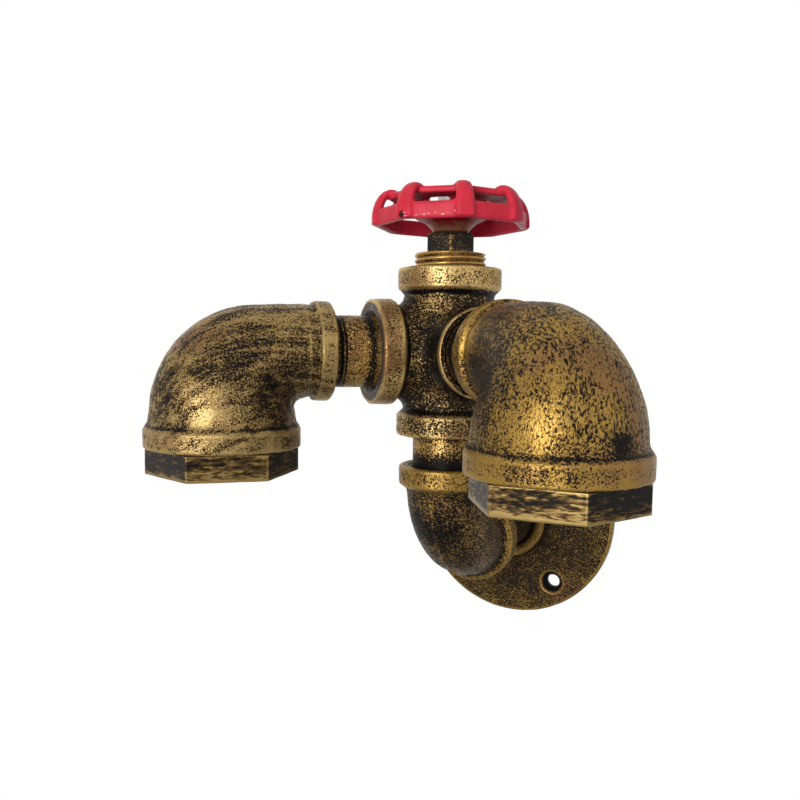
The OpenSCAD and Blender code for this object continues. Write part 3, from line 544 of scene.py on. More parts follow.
def band_outline(pipe, start, face, body_r, band_r, band_w):
    """Outline (r, h) of one banded socket end: slope, band, flared mouth and threaded socket."""
    p = pipe
    return [
        (body_r - 3 * MM, start, 0),
        (body_r, start, 0),
        (body_r, face - band_w - p.slope / 2, p.slope),
        (band_r, face - band_w + p.slope / 2, p.edge),
        (band_r, face, p.edge),
        (p.bore_r + p.mouth_flare, face, 0.25 * MM),
        (p.bore_r, face - p.mouth_depth, 0.2 * MM),
        (p.bore_r, face - p.socket_depth, 0),
    ]


# Finishes


class Graph:
    """Short calls for a material's nodes"""

    def __init__(self, name):
        self.material = bpy.data.materials.new(name)
        if self.material.name != name:
            raise ValueError(f"there is already a material named {name}")
        self.material.use_nodes = True
        self.tree = self.material.node_tree
        self.tree.nodes.clear()
        self.shader = self.add("ShaderNodeBsdfPrincipled")
        self.join(self.shader.outputs[0], self.add("ShaderNodeOutputMaterial").inputs["Surface"])

    def add(self, kind, **settings):
        node = self.tree.nodes.new(kind)
        for key, value in settings.items():
            setattr(node, key, value)
        return node

    def join(self, source, socket):
        if isinstance(source, bpy.types.NodeSocket):
            self.tree.links.new(source, socket)
        else:
            socket.default_value = source

    def set(self, **values):
        for key, value in values.items():
            self.join(value, self.shader.inputs[key.replace("_", " ")])

    def place(self):
        return self.add("ShaderNodeTexCoord").outputs["Object"]

    def point_value(self, name, vector=False):
        return self.add("ShaderNodeAttribute", attribute_name=name).outputs["Vector" if vector else "Fac"]

    def math(self, operation, a, b=0.0):
        node = self.add("ShaderNodeMath", operation=operation)
        self.join(a, node.inputs[0])
        self.join(b, node.inputs[1])
        return node.outputs[0]

    def plus(self, a, b):
        return self.math("ADD", a, b)

    def minus(self, a, b):
        return self.math("SUBTRACT", a, b)

    def times(self, a, b):
        return self.math("MULTIPLY", a, b)

    def noise(self, vector, size, detail=2.0, roughness=0.5, distortion=0.0):
        """Noise with lumps of about one size in metres"""
        node = self.add("ShaderNodeTexNoise")
        self.join(vector, node.inputs["Vector"])
        node.inputs["Scale"].default_value = 1 / size
        node.inputs["Detail"].default_value = detail
        node.inputs["Roughness"].default_value = roughness
        node.inputs["Distortion"].default_value = distortion
        return node.outputs["Fac"]

    def distance(self, vector, spot):
        node = self.add("ShaderNodeVectorMath", operation="DISTANCE")
        self.join(vector, node.inputs[0])
        self.join(spot, node.inputs[1])
        return node.outputs["Value"]

    def stretch(self, vector, scale=(1, 1, 1), offset=(0, 0, 0)):
        node = self.add("ShaderNodeMapping")
        self.join(vector, node.inputs["Vector"])
        node.inputs["Scale"].default_value = scale
        node.inputs["Location"].default_value = offset
        return node.outputs[0]

    def step(self, value, low, high, to_low=0.0, to_high=1.0):
        """Smooth step of a value from one level to another"""
        node = self.add("ShaderNodeMapRange", interpolation_type="SMOOTHSTEP")
        levels = {"Value": value, "From Min": low, "From Max": high, "To Min": to_low, "To Max": to_high}
        for key, given in levels.items():
            self.join(given, node.inputs[key])
        return node.outputs[0]

    def mix(self, share, a, b):
        node = self.add("ShaderNodeMix", data_type="RGBA")
        for index, value in ((0, share), (6, a), (7, b)):
            self.join((*value, 1) if isinstance(value, tuple) else value, node.inputs[index])
        return node.outputs[2]

    def bump(self, height, distance, strength=1.0):
        node = self.add("ShaderNodeBump")
        node.inputs["Distance"].default_value = distance
        node.inputs["Strength"].default_value = strength
        self.join(height, node.inputs["Height"])
        return node.outputs[0]


def antique_finish(name, finish, tint, grain, relief, clouds, strokes, worms=0.6, along=False, soft=0.035):
    """Gold brushed over black. The skin's height is a warped noise with a finer one on it, laid along
    the piece if asked. Gold lies where the height passes a level that the cover sets, and has flat
    tops. The cover is the piece's own gold value with broad clouds and with strokes along the piece.
    Thin gold is brown, some of it is stained with copper, and the black beside it has a film of gold."""
    cloud_size, stain_size, stroke_size, stroke_stretch = 9 * MM, 17 * MM, 2.3 * MM, 0.05
    g = Graph(name)
    place, brush = g.place(), g.point_value("brush", vector=True)
    skin = brush if along else place
    lumps = g.noise(skin, grain, 1.0, 0.5, worms)
    fine = g.noise(skin, 0.45 * grain, 1.5, 0.6)
    height = g.plus(g.times(lumps, 0.72), g.times(fine, 0.28))
    cloud = g.noise(place, cloud_size, 3.0, 0.55)
    stain = g.noise(g.stretch(place, offset=(0.31, 0.17, 0.23)), stain_size, 2.0, 0.5)
    stroke = g.noise(g.stretch(brush, (stroke_stretch, 1, 1)), stroke_size, 2.5, 0.6)
    cover = g.plus(g.point_value("gold"), g.times(g.minus(cloud, 0.5), clouds))
    cover = g.plus(cover, g.times(g.minus(stroke, 0.5), strokes))
    level = g.plus(height, g.times(g.minus(cover, 0.5), 0.32))
    gilt = g.step(level, 0.5 - soft, 0.5 + soft)
    tops = g.step(level, 0.42, 0.60)
    gold = g.mix(g.step(level, 0.50, 0.64), tuple(finish.old_gold), tuple(tint))
    stain = g.plus(stain, g.times(g.point_value("copper"), 0.3))
    gold = g.mix(g.step(stain, 0.52, 0.72, 0.0, 0.75), gold, tuple(finish.copper))
    under = g.mix(g.step(level, 0.36, 0.50), tuple(finish.black), tuple(finish.haze))
    bare = g.point_value("bare")
    g.set(
        Base_Color=g.mix(bare, g.mix(gilt, under, gold), tuple(finish.bare)),
        Metallic=g.math("MAXIMUM", g.times(gilt, 0.6), g.times(bare, 0.5)),
        Roughness=g.plus(g.step(gilt, 0, 1, 0.48, 0.33), g.times(g.minus(fine, 0.5), 0.3)),
        Specular_IOR_Level=0.09,
        Specular_Tint=(1.0, 0.92, 0.78, 1),
        Normal=g.bump(g.plus(g.times(height, 0.45), g.times(tops, 0.2)), relief),
    )


def enamel_finish(finish, valve, fitting):
    """Red enamel with a soft orange-peel skin, priming where the skirt's front edge is chipped, a dark
    knock on one corner, painted shade inside the wheel under the plate, and copper overspray on the hub
    under the wheel."""
    g = Graph("wheel_enamel")
    place = g.place()
    peel = g.noise(place, 2.2 * MM, 2.0, 0.5)
    grime = g.noise(place, 7 * MM, 3.0, 0.6)
    flake = g.noise(g.stretch(place, (0.6, 0.6, 1.8)), 1.2 * MM, 2.0, 0.6)
    # Places are taken from the middle of the skirt's foot
    local = g.stretch(place, offset=(0, fitting.wall_reach, -fitting.tee_z - valve.skirt_z))
    apart = g.add("ShaderNodeSeparateXYZ")
    g.join(local, apart.inputs[0])
    x, y, z = apart.outputs
    away = g.math("SQRT", g.plus(g.times(x, x), g.times(y, y)))

    spray = g.times(g.step(away, 16 * MM, 9 * MM), g.step(z, 4.5 * MM, -2 * MM))
    spray = g.step(g.plus(spray, g.times(g.minus(peel, 0.5), 1.6)), 0.35, 0.95, 0.0, 0.85)
    edge = g.times(g.step(z, 3.0 * MM, 2.4 * MM), g.step(away, 26 * MM, 28 * MM))
    edge = g.times(edge, g.step(z, 0.4 * MM, 0.9 * MM))
    middle = g.times(g.step(x, 22 * MM, 12 * MM), g.step(x, -8 * MM, -6 * MM))
    front = g.times(g.step(y, -16 * MM, -22 * MM), middle)
    chip = g.step(g.plus(g.times(g.times(edge, front), 0.36), flake), 0.985, 1.01)
    knock = g.distance(local, (-6.2 * MM, -29.0 * MM, 1.6 * MM))
    knock = g.step(g.plus(knock, g.times(flake, 3 * MM)), 3.1 * MM, 2.6 * MM)
    # Painted shade: inside the wheel, below the plate's middle, the red is darkened to a fifth
    painted_shade_inside = g.times(g.step(away, 25.5 * MM, 23.5 * MM), g.step(z, 10.6 * MM, 9.8 * MM))

    # The darkest of these reds is the colour of that painted shade
    full, dull, dark = (tuple(shade * c for c in finish.red) for shade in (1, 0.55, 0.2))
    red = g.mix(g.step(grime, 0.3, 0.75, 0.0, 0.35), full, dull)
    red = g.mix(g.times(painted_shade_inside, 0.7), red, dark)
    skin = g.mix(knock, g.mix(chip, red, tuple(finish.chip)), tuple(finish.haze))
    g.set(
        Base_Color=g.mix(spray, skin, tuple(finish.overspray)),
        Metallic=g.times(spray, 0.3),
        Roughness=g.plus(g.step(grime, 0.3, 0.7, 0.32, 0.42), g.times(chip, 0.3)),
        Specular_IOR_Level=0.1,
        Normal=g.bump(g.minus(peel, chip), 0.1 * MM, 0.5),
    )


def plain_finish(name, base, metallic, roughness, grain, uneven):
    """Simple finish with a fine grain that varies its colour, gloss and skin."""
    g = Graph(name)
    lumps = g.noise(g.place(), grain, 3.0, 0.6)
    base = tuple(base)
    g.set(
        Base_Color=g.mix(g.step(lumps, 0.3, 0.7, 0.0, uneven), base, tuple(0.55 * c for c in base)),
        Metallic=metallic,
        Roughness=g.step(lumps, 0.3, 0.7, roughness - 0.06, roughness + 0.08),
        Normal=g.bump(lumps, 0.06 * MM, 0.5),
    )


def finish_named(name):
    """A finish by its name, made by the finishes operator."""
    return bpy.data.materials[name]


# Places on the light


def tee_centre(light):
    return np.array([0.0, -light.fitting.wall_reach, light.fitting.tee_z])


def wall_axis():
    """Place of what turns about the flange's axis: heights count out from the wall."""
    return axes((0, 0, 0), (0, -1, 0), (1, 0, 0))


def run_axis(light):
    """Place of what turns about the tee's upright run: heights count up from the tee's centre."""
    return axes(tee_centre(light), (0, 0, 1), (1, 0, 0))


def arm_direction(light, hand):
    """Unit vector along the left (-1) or right (1) arm, away from the tee."""
    spread = light.fitting.half_spread
    return np.array([hand * math.sin(spread), -math.cos(spread), 0.0])


def head_centre(light, hand):
    reach = light.fitting.tee_len + light.fitting.arm_gap + light.head.small_len
    return tee_centre(light) + arm_direction(light, hand) * reach


def lamp_axis(light, hand):
    """Place of what turns about a lamp's axis: heights count up from the arm's axis."""
    return axes(head_centre(light, hand), (0, 0, 1), (1, 0, 0))


# Pieces


class PIPELIGHT_OT_finishes(Operator):
    """Makes the finishes and puts them on the CAD nodes that stay in view"""

    bl_idname = "pipelight.finishes"
    bl_label = "Finishes"

    def execute(self, context):
        light = context.scene.pipe_light
        f = light.finish
        # Painted light: the tee's gold is a lighter copy of the pale gold that brightens its highlights
        lit_pale_gold = [1.55 * c for c in f.pale_gold]
        # Tint, grain and relief in mm, clouds, strokes, and what else a finish has of its own
        antique = {
            "cast_gold": (f.gold, 0.74, 0.42, 0.6, 0.45, {}),
            "cast_coarse": (f.gold, 0.64, 0.46, 0.7, 0.8, {"worms": 0.7, "along": True}),
            "cast_pale": (f.pale_gold, 0.54, 0.36, 0.6, 1.7, {"along": True}),
            "tee_gold": (lit_pale_gold, 0.64, 0.26, 0.8, 0.0, {}),
            "flange_gold": (f.gold, 0.48, 0.32, 0.4, 0.0, {"worms": 0.9}),
            # The pipes and the bonnet take the lighter copy of the gold, painted light
            "pipe_gold": (f.bright_gold, 0.62, 0.16, 0.9, 0.4, {}),
            "hex_gold": (f.dull_gold, 1.0, 0.08, 1.0, 1.3, {"along": True, "soft": 0.17}),
            "nut_black": (f.gold, 0.60, 0.12, 1.0, 0.8, {}),
        }
        for name, (tint, grain, relief, clouds, strokes, own) in antique.items():
            antique_finish(name, f, tint, grain * MM, relief * MM, clouds, strokes, **own)
        enamel_finish(f, light.valve, light.fitting)
        # Colour, metal, roughness, grain in mm and unevenness
        plain = {
            "glazed_ceramic": (f.ceramic, 0.0, 0.22, 4, 0.12),
            "pressed_brass": (f.brass, 1.0, 0.3, 3, 0.3),
            "zinc_plate": (f.zinc, 1.0, 0.34, 2.5, 0.3),
            "moulded_bakelite": (f.bakelite, 0.0, 0.35, 3, 0.4),
            "braided_packing": (f.packing, 0.0, 0.8, 0.8, 0.5),
            "silicone_sheath": (f.sheath, 0.0, 0.6, 1.2, 0.25),
        }
        for name, (base, metal, roughness, grain, uneven) in plain.items():
            plain_finish(name, base, metal, roughness, grain * MM, uneven)
        kept = {
            "gland_packing": "braided_packing",
            "switch_housing": "moulded_bakelite",
            "switch_base": "moulded_bakelite",
            "switch_rotor": "glazed_ceramic",
        }
        for side, _ in HANDS:
            kept[f"{side}_inner_lead"] = "silicone_sheath"
            kept[f"{side}_head_lead"] = "silicone_sheath"
            kept[f"{side}_centre_contact"] = "pressed_brass"
            kept[f"{side}_terminal_screws"] = "pressed_brass"
            kept[f"{side}_retaining_ring"] = "zinc_plate"
        for node, finish in kept.items():
            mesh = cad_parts[node].data
            mesh.materials.clear()
            mesh.materials.append(finish_named(finish))
        return {"FINISHED"}


class PIPELIGHT_OT_wall_flange(Operator):
    """Disc with a crowned face, a filleted hub and four countersunk screw holes"""

    bl_idname = "pipelight.wall_flange"
    bl_label = "Wall Flange"

    def execute(self, context):
        light = context.scene.pipe_light
        p, f = light.pipe, light.flange
        across, radial, opening = 24, 12, 15
        edge = f.thick / 4
        inside, outside = f.hub_r + f.hub_fillet, f.rim_r - edge

        def face_height(r):
            return f.thick + f.crown * np.clip((outside - r) / (outside - inside), 0, 1)

        # A hole's wall from the back to the countersink's rim, as (radius, height)
        top = face_height(f.screw_circle_r)
        sink = top - (f.sink_r - f.hole_r)
        hole = np.array([
            (f.hole_r, 0.0),
            (f.hole_r, 0.5 * sink),
            (f.hole_r, sink),
            (0.5 * (f.hole_r + f.sink_r), 0.5 * (sink + top)),
            (f.sink_r - 0.3 * MM, top - 0.3 * MM),
            (f.sink_r + 0.15 * MM, top - 0.02 * MM),
        ])
        wall_rows, rim_rows = slice(1, len(hole) - 1), slice(len(hole) - 1, len(hole) + 1)
        face_rows = slice(len(hole) + 1, None)

        # Each hole has a grid that opens from its circle to the border of its quarter
        sheets = []
        quarter = np.linspace(-TURN / 8, TURN / 8, across + 1)
        out = np.linspace(inside, outside, radial + 1)
        border_r = np.concatenate([np.full(across, inside), out[:-1], np.full(across, outside), out[:0:-1]])
        border_v = np.concatenate([
            quarter[:-1], np.full(radial, quarter[-1]), quarter[:0:-1], np.full(radial, quarter[0])
        ])
        open_out = np.linspace(0, 1, opening)[:, None, None] ** 1.2
        for i in range(4):
            turn = f.screw_turn + i * TURN / 4
            centre = f.screw_circle_r * np.array([math.cos(turn), math.sin(turn)])
            border = border_r[:, None] * np.stack([np.cos(border_v + turn), np.sin(border_v + turn)], 1)
            way = (border - centre) / np.linalg.norm(border - centre, axis=1, keepdims=True)
            rim = centre + (f.sink_r + 0.6 * MM) * way
            plane = np.concatenate([
                border[None], centre + hole[:, :1, None] * way, rim + (border - rim) * open_out
            ])
            height = np.zeros(plane.shape[:2])
            height[1 : len(hole) + 1] = hole[:, 1:]
            height[face_rows] = face_height(np.linalg.norm(plane[face_rows], axis=-1))
            far = np.linalg.norm(plane, axis=-1) / f.rim_r
            gold = 0.29 + 0.14 * np.clip((far - 0.7) / 0.3, 0, 1)
            gold[rim_rows] = 0.9
            gold[wall_rows] = -0.2
            sheets.append(sheet(np.stack([plane[..., 0], -height, plane[..., 1]], -1), gold, loop=False))

        v = np.concatenate([quarter[:-1] + f.screw_turn + i * TURN / 4 for i in range(4)])
        arc = np.linspace(0, TURN / 4, 6)
        rim_line = np.concatenate([
            [(outside, 0), (f.rim_r - edge / 2, 0), (f.rim_r, edge / 2), (f.rim_r, 2 * edge)],
            np.stack([f.rim_r - edge + edge * np.cos(arc), f.thick - edge + edge * np.sin(arc)], 1),
        ])
        # The hub's fillet leaves the face level and ends upright
        turn = np.linspace(0, TURN / 4, 9)
        foot = face_height(inside)
        fillet = np.stack([inside - f.hub_fillet * np.sin(turn), foot + f.hub_fillet * (1 - np.cos(turn))], 1)
        crest_r, crest_h = f.hub_r - p.edge, f.hub_h - p.edge
        crest = np.stack([crest_r + p.edge * np.cos(arc), crest_h + p.edge * np.sin(arc)], 1)
        shank = np.stack([np.full(5, f.hub_r), np.linspace(fillet[-1, 1], crest[0, 1], 7)[1:-1]], 1)
        flared = p.bore_r + p.mouth_flare
        mouth = [(flared, f.hub_h), (p.bore_r, f.hub_h - p.mouth_depth), (p.bore_r, 0), (inside, 0)]
        hub_line = np.concatenate([fillet, shank, crest, mouth])
        rim_gold = np.where(rim_line[:, 1] > 2 * edge, 0.82, 0.4)
        hub_gold = np.where(hub_line[:, 1] > crest_h, 0.7, 0.3)
        for line, gold in ((rim_line, rim_gold), (hub_line, hub_gold)):
            sheets.append(sheet(turned(line, wall_axis(), -v), gold[:, None], loop=False))
        add_piece("wall_flange", "cast", sheets, "flange_gold", "stand", lump=0.6 * p.lump, seed=11)
        return {"FINISHED"}


class PIPELIGHT_OT_pipe_nipples(Operator):
    """Four threaded pipe nipples: at the wall, in the riser and in both arms"""

    bl_idname = "pipelight.pipe_nipples"
    bl_label = "Pipe Nipples"

    def execute(self, context):
        light = context.scene.pipe_light
        p, t = light.pipe, light.fitting
        hub, rear = light.flange.hub_h, t.wall_reach - t.elbow_len
        foot, head = t.elbow_len, t.tee_z - t.tee_len
        near, far = t.tee_len, t.tee_len + t.arm_gap
        riser_axis = axes((0, -t.wall_reach, 0), (0, 0, 1), (1, 0, 0))
        # Darker rings at the lower elbow and at the tee, partly a real stain and partly painted shade where
        # the pipe goes in
        riser_stains_and_shade = ((foot, 4.4 * MM, -0.95), (head, 1.4 * MM, -0.5))
        # Axis, the stretch that shows, the threads, the share of gold and the rings of stain and painted
        # shade
        runs = {
            "wall_nipple": (wall_axis(), hub, rear, ((hub - p.grip, hub + 3.2 * MM),), 0.2, ()),
            "riser_nipple": (riser_axis, foot, head, (), 0.70, riser_stains_and_shade),
        }
        for side, hand in HANDS:
            runs[f"{side}_arm_nipple"] = (
                axes(tee_centre(light), arm_direction(light, hand), (0, 0, 1)),
                near,
                far,
                ((far - 4.6 * MM, far + p.grip),),
                light.finish.pipe_cover if hand < 0 else 0.45,
                ((near + 2.2 * MM, 1.6 * MM, -0.6), (far, 4.0 * MM, -0.4)),
            )
        for node, (place, start, stop, threads, cover, stains_and_shade) in runs.items():
            part = nipple(p, place, start - p.grip, stop + p.grip, threads, cover, stains_and_shade)
            add_piece(node, "pipe", [part], "pipe_gold", "stand", lump=0.3 * p.lump, seed=21)
        return {"FINISHED"}


class PIPELIGHT_OT_lower_elbow(Operator):
    """Equal elbow at the foot of the riser, with a band on each end and a parting line"""

    bl_idname = "pipelight.lower_elbow"
    bl_label = "Lower Elbow"

    def execute(self, context):
        light = context.scene.pipe_light
        p, t, f = light.pipe, light.fitting, light.finish
        straight = t.elbow_len - t.elbow_bend
        bend = t.elbow_bend * TURN / 4
        total = 2 * straight + bend
        flared = p.bore_r + p.mouth_flare
        corners = []
        for face, way in ((0.0, 1), (total, -1)):
            end = [
                (p.passage_r, face + way * p.socket_depth, 0),
                (p.bore_r, face + way * p.socket_depth, 0),
                (p.bore_r, face + way * p.mouth_depth, 0.2 * MM),
                (flared, face, 0.25 * MM),
                (t.elbow_band_r, face, p.edge),
                (t.elbow_band_r, face + way * (t.elbow_band_w - p.slope / 2), p.edge),
                (t.elbow_r, face + way * (t.elbow_band_w + p.slope / 2), p.slope),
            ]
            corners += end[::way]
        points, wear = outline(corners)
        v = angles(176)
        r, s = points.T
        # The centreline comes out of the wall, turns up through a quarter circle and rises
        turn = np.clip((s - straight) / bend, 0, 1) * TURN / 4
        before, after = np.clip(straight - s, 0, None), np.clip(s - straight - bend, 0, None)
        line = np.stack([
            np.zeros_like(s),
            -t.wall_reach + t.elbow_bend * (1 - np.sin(turn)) + before,
            t.elbow_bend * (1 - np.cos(turn)) + after,
        ], 1)
        # The bands and the sockets stay straight, and the body eases from them into the bend
        easing = 3 * MM
        keep = np.where(r < t.elbow_r - 1 * MM, p.socket_depth + 0.1 * MM, t.elbow_band_w + 0.6 * MM)
        for end, axis, final in ((s, 1, 0.0), (total - s, 2, TURN / 4)):
            ease = np.clip((keep + easing - end) / easing, 0, 1)
            ease = ease * ease * (3 - 2 * ease)
            level = np.zeros_like(line)
            level[:, 1] = -t.wall_reach
            level[:, axis] += t.elbow_len - end
            line += ease[:, None] * (level - line)
            turn += ease * (final - turn)
        outward = np.stack([np.zeros_like(s), -np.sin(turn), -np.cos(turn)], 1)
        sideways = np.array([1.0, 0, 0])
        # A low ridge runs along the outside of the bend, where the halves of the mould met
        seam_h, seam_w = 0.4 * MM, 0.55 * MM
        body = np.clip(1 - np.abs(r - t.elbow_r) / (0.6 * MM), 0, 1)[:, None]
        seam = bell(((v + math.pi) % TURN - math.pi) * t.elbow_r, seam_w)[None] * body
        round_line = np.cos(v)[None, :, None] * outward[:, None] + np.sin(v)[None, :, None] * sideways
        rings = line[:, None] + (r[:, None] + seam_h * seam)[..., None] * round_line
        tone = np.where(r > t.elbow_r + 1.2 * MM, f.band_cover - 0.06, f.cast_cover - 0.22)
        # The patches add a painted highlight and painted shade to the gold
        gold = brushed(tone, wear, 0.25, 0.12)[:, None] + 0.25 * seam + patches(rings, ELBOW_LIGHT_AND_SHADE)
        part = sheet(rings, gold, straightened(points, v, rings))
        add_piece("lower_elbow", "cast", [part], "cast_gold", "stand", lump=p.lump, seed=31)
        return {"FINISHED"}


class PIPELIGHT_OT_side_outlet_tee(Operator):
    """Tee with an upright run and two side outlets, blended at the crotches"""

    bl_idname = "pipelight.side_outlet_tee"
    bl_label = "Side Outlet Tee"

    def execute(self, context):
        light = context.scene.pipe_light
        p, t, f = light.pipe, light.fitting, light.finish
        arms = [arm_direction(light, hand) for _, hand in HANDS]
        sheets = [self.body(light, arms)]
        v = angles(128)
        # Way out, side of angle 0, added gold on the band, bare iron on the face, and copper
        ends = (
            ((0, 0, 1), (1, 0, 0), 0.02, 0.1, 0.1),
            ((0, 0, -1), (1, 0, 0), -0.20, 0.1, 0.2),
            (arms[0], (0, 0, 1), 0.04, 0.3, 0.32),
            (arms[1], (0, 0, 1), 0.0, 0.0, 0.3),
        )
        start = t.tee_len - t.tee_band_w - 3.2 * MM
        banded = band_outline(p, start, t.tee_len, t.tee_r, t.tee_band_r, t.tee_band_w)
        for way, side, added, bared, warm in ends:
            if way is arms[1]:
                points, wear = outline(self.slim_end(p, t), 0.5 * MM)
                raised, low_cover = points[:, 0] > t.collar_r - 0.6 * MM, f.tee_cover - 0.2
            else:
                points, wear = outline(banded)
                raised, low_cover = points[:, 0] > t.tee_r + 1.5 * MM, f.tee_cover - 0.1
            rings = turned(points, axes(tee_centre(light), way, side), v)
            tone = np.where(raised, f.band_cover + added, low_cover)
            face = (points[:, 1] > t.tee_len - 0.3 * MM) & (points[:, 0] < t.tee_band_r - 0.6 * MM)
            bare = np.where(face, bared, 0.0)[:, None]
            gold = brushed(tone, wear, 0.25, 0.2)[:, None]
            sheets.append(sheet(rings, gold, straightened(points, v, rings), bare, warm))
        add_piece("side_outlet_tee", "cast", sheets, "tee_gold", "stand", lump=p.lump, seed=41)
        return {"FINISHED"}

    def slim_end(self, p, t):
        """Outline (r, h) of the right outlet: a slim neck with a thin collar, and its socket."""
        neck_start, foot, rise = 24 * MM, 3.6 * MM, 2.2 * MM
        return [
            (t.outlet_r - 1 * MM, neck_start, 0),
            (t.outlet_r, neck_start, 0),
            (t.outlet_r, t.tee_len - foot, 1.2 * MM),
            (t.collar_r, t.tee_len - rise, 0.5 * MM),
            (t.collar_r, t.tee_len, 0.8 * MM),
            (p.bore_r + 1 * MM, t.tee_len, 0.25 * MM),
            (p.bore_r, t.tee_len - 1 * MM, 0.2 * MM),
            (p.bore_r, t.tee_len - p.socket_depth, 0),
        ]

    def skin(self, points, t, arms):
        """Least distance to the run or an arm, lowered where two of them are near each other at an
        angle, and how far it is lowered. Behind the run an arm closes with a rounded end."""
        cap = t.tee_len - 2 * MM
        flat = points * (1, 1, 0)
        gaps = [np.maximum(np.linalg.norm(flat, axis=-1) - t.tee_r, np.abs(points[..., 2]) - cap)]
        ways = [flat]
        for way, arm_r in zip(arms, (t.tee_r, t.outlet_r)):
            ahead = points @ way
            off = points - ahead[..., None] * way
            behind = 3 * np.clip(-ahead, 0, None)
            gaps.append(np.maximum(np.hypot(np.linalg.norm(off, axis=-1), behind) - arm_r, ahead - cap))
            ways.append(off)
        ways = [w / np.maximum(np.linalg.norm(w, axis=-1, keepdims=True), 1e-9) for w in ways]
        blend = 0.0
        for a, b in ((0, 1), (0, 2), (1, 2)):
            near = np.clip(1 - np.abs(gaps[a] - gaps[b]) / t.crotch, 0, 1)
            across = np.clip(1 - (ways[a] * ways[b]).sum(-1), 0, 1)
            blend = blend + across * near**2 * t.crotch / 4
        return np.minimum.reduce(gaps) - blend, blend

    def body(self, light, arms):
        """Body of the tee. Every ray from its centre leaves it once, so halving finds the skin."""
        t, f = light.fitting, light.finish
        nearest, farthest, halvings = 5 * MM, 60 * MM, 26
        tilt, v = np.linspace(0, math.pi, 160)[:, None], angles(300)
        x, y, z = np.sin(tilt) * np.cos(v), np.cos(tilt), np.sin(tilt) * np.sin(v)
        rays = np.stack(np.broadcast_arrays(x, y, z), -1)
        low, high = np.full(rays.shape[:2], nearest), np.full(rays.shape[:2], farthest)
        for _ in range(halvings):
            middle = (low + high) / 2
            inside = self.skin(rays * middle[..., None], t, arms)[0] < 0
            low, high = np.where(inside, middle, low), np.where(inside, high, middle)
        body = rays * low[..., None]
        hollow = np.clip(self.skin(body, t, arms)[1] / (0.25 * t.crotch), 0, 1)
        # More gold where the key lamp's highlight falls on the front, a painted highlight
        highlight_gold = patches(tee_centre(light) + body, TEE_HIGHLIGHT_GOLD)
        # The neck of the right outlet is darker than the body
        ahead = body @ arms[1]
        off = np.linalg.norm(body - ahead[..., None] * arms[1], axis=-1)
        neck = np.clip((ahead - 17 * MM) / (4 * MM), 0, 1) * np.clip(2 - off / t.outlet_r, 0, 1)
        gold = f.tee_cover - 0.2 * hollow + highlight_gold - 0.22 * neck
        return sheet(tee_centre(light) + body, gold, loop=False)


class PIPELIGHT_OT_valve_top(Operator):
    """Threaded bonnet and hexagonal gland nut on top of the tee"""

    bl_idname = "pipelight.valve_top"
    bl_label = "Valve Top"

    def execute(self, context):
        light = context.scene.pipe_light
        p, t, b = light.pipe, light.fitting, light.valve
        place = run_axis(light)
        bore, shoulder = b.spindle_r + FIT, t.tee_len - 1 * MM
        corners = [
            (bore, b.bonnet_foot, 0),
            (p.pipe_r, b.bonnet_foot, 0),
            (p.pipe_r, shoulder, 0),
            (b.bonnet_r, shoulder, 0),
            (b.bonnet_r, b.bonnet_top, 0.5 * MM),
            (b.boss_r, b.bonnet_top, 0),
            (b.boss_r, b.boss_top, 0),
            (bore, b.boss_top, 0),
        ]
        points, wear = outline(corners, 0.2 * MM)
        v = angles(144)
        depth = 0.85 * MM
        cut = thread(points[:, 1], v, b.bonnet_pitch, depth, t.tee_len - 3 * MM, b.bonnet_top + 1 * MM)
        cut = np.where(points[:, :1] > b.bonnet_r - 0.1 * MM, cut, 0)
        rings = turned(points, place, v, points[:, :1] - cut)
        gold = brushed(1.4, wear)[:, None] - cut / depth
        part = sheet(rings, gold, straightened(points, v, rings))
        add_piece("valve_bonnet", "turned", [part], "pipe_gold", "stand")

        high = b.gland_flat / math.cos(TURN / 12)
        inner, hole, ceiling = b.boss_r + FIT, bore + 0.1 * MM, b.boss_top + 1.5 * MM
        corners = [
            (hole, b.gland_top, 0.1 * MM),
            (hole, ceiling, 0),
            (inner, ceiling, 0),
            (inner, b.bonnet_top, 0),
            (high - 0.3 * MM, b.bonnet_top, 0.1 * MM),
            (high + 0.4 * MM, b.bonnet_top + 0.7 * MM, 0.2 * MM),
            (high + 0.2 * MM, b.gland_top - 1.6 * MM, 0.4 * MM),
            (b.gland_flat - 0.2 * MM, b.gland_top, 0.4 * MM),
        ]
        points, wear = outline(corners, 0.4 * MM)
        v = angles(180, b.gland_corner)
        hexagon = polygon_radius(v, b.gland_corner, b.gland_flat, 6, 70)
        r = points[:, :1]
        rings = turned(points, place, v, np.where(r > inner + 0.5 * MM, np.minimum(r, hexagon), r))
        # The corners on one side are worn to gold
        corner = np.clip((hexagon / b.gland_flat - 1.10) / 0.05, 0, 1)[None]
        toward = np.clip(np.cos(v - b.gland_corner + TURN / 3), 0, 1) ** 2
        gold = brushed(0.06, wear, 0.2)[:, None] + 0.45 * corner * toward
        part = sheet(rings, gold, straightened(points, v, rings), 0.1)
        add_piece("gland_nut", "turned", [part], "nut_black", "stand")
        return {"FINISHED"}


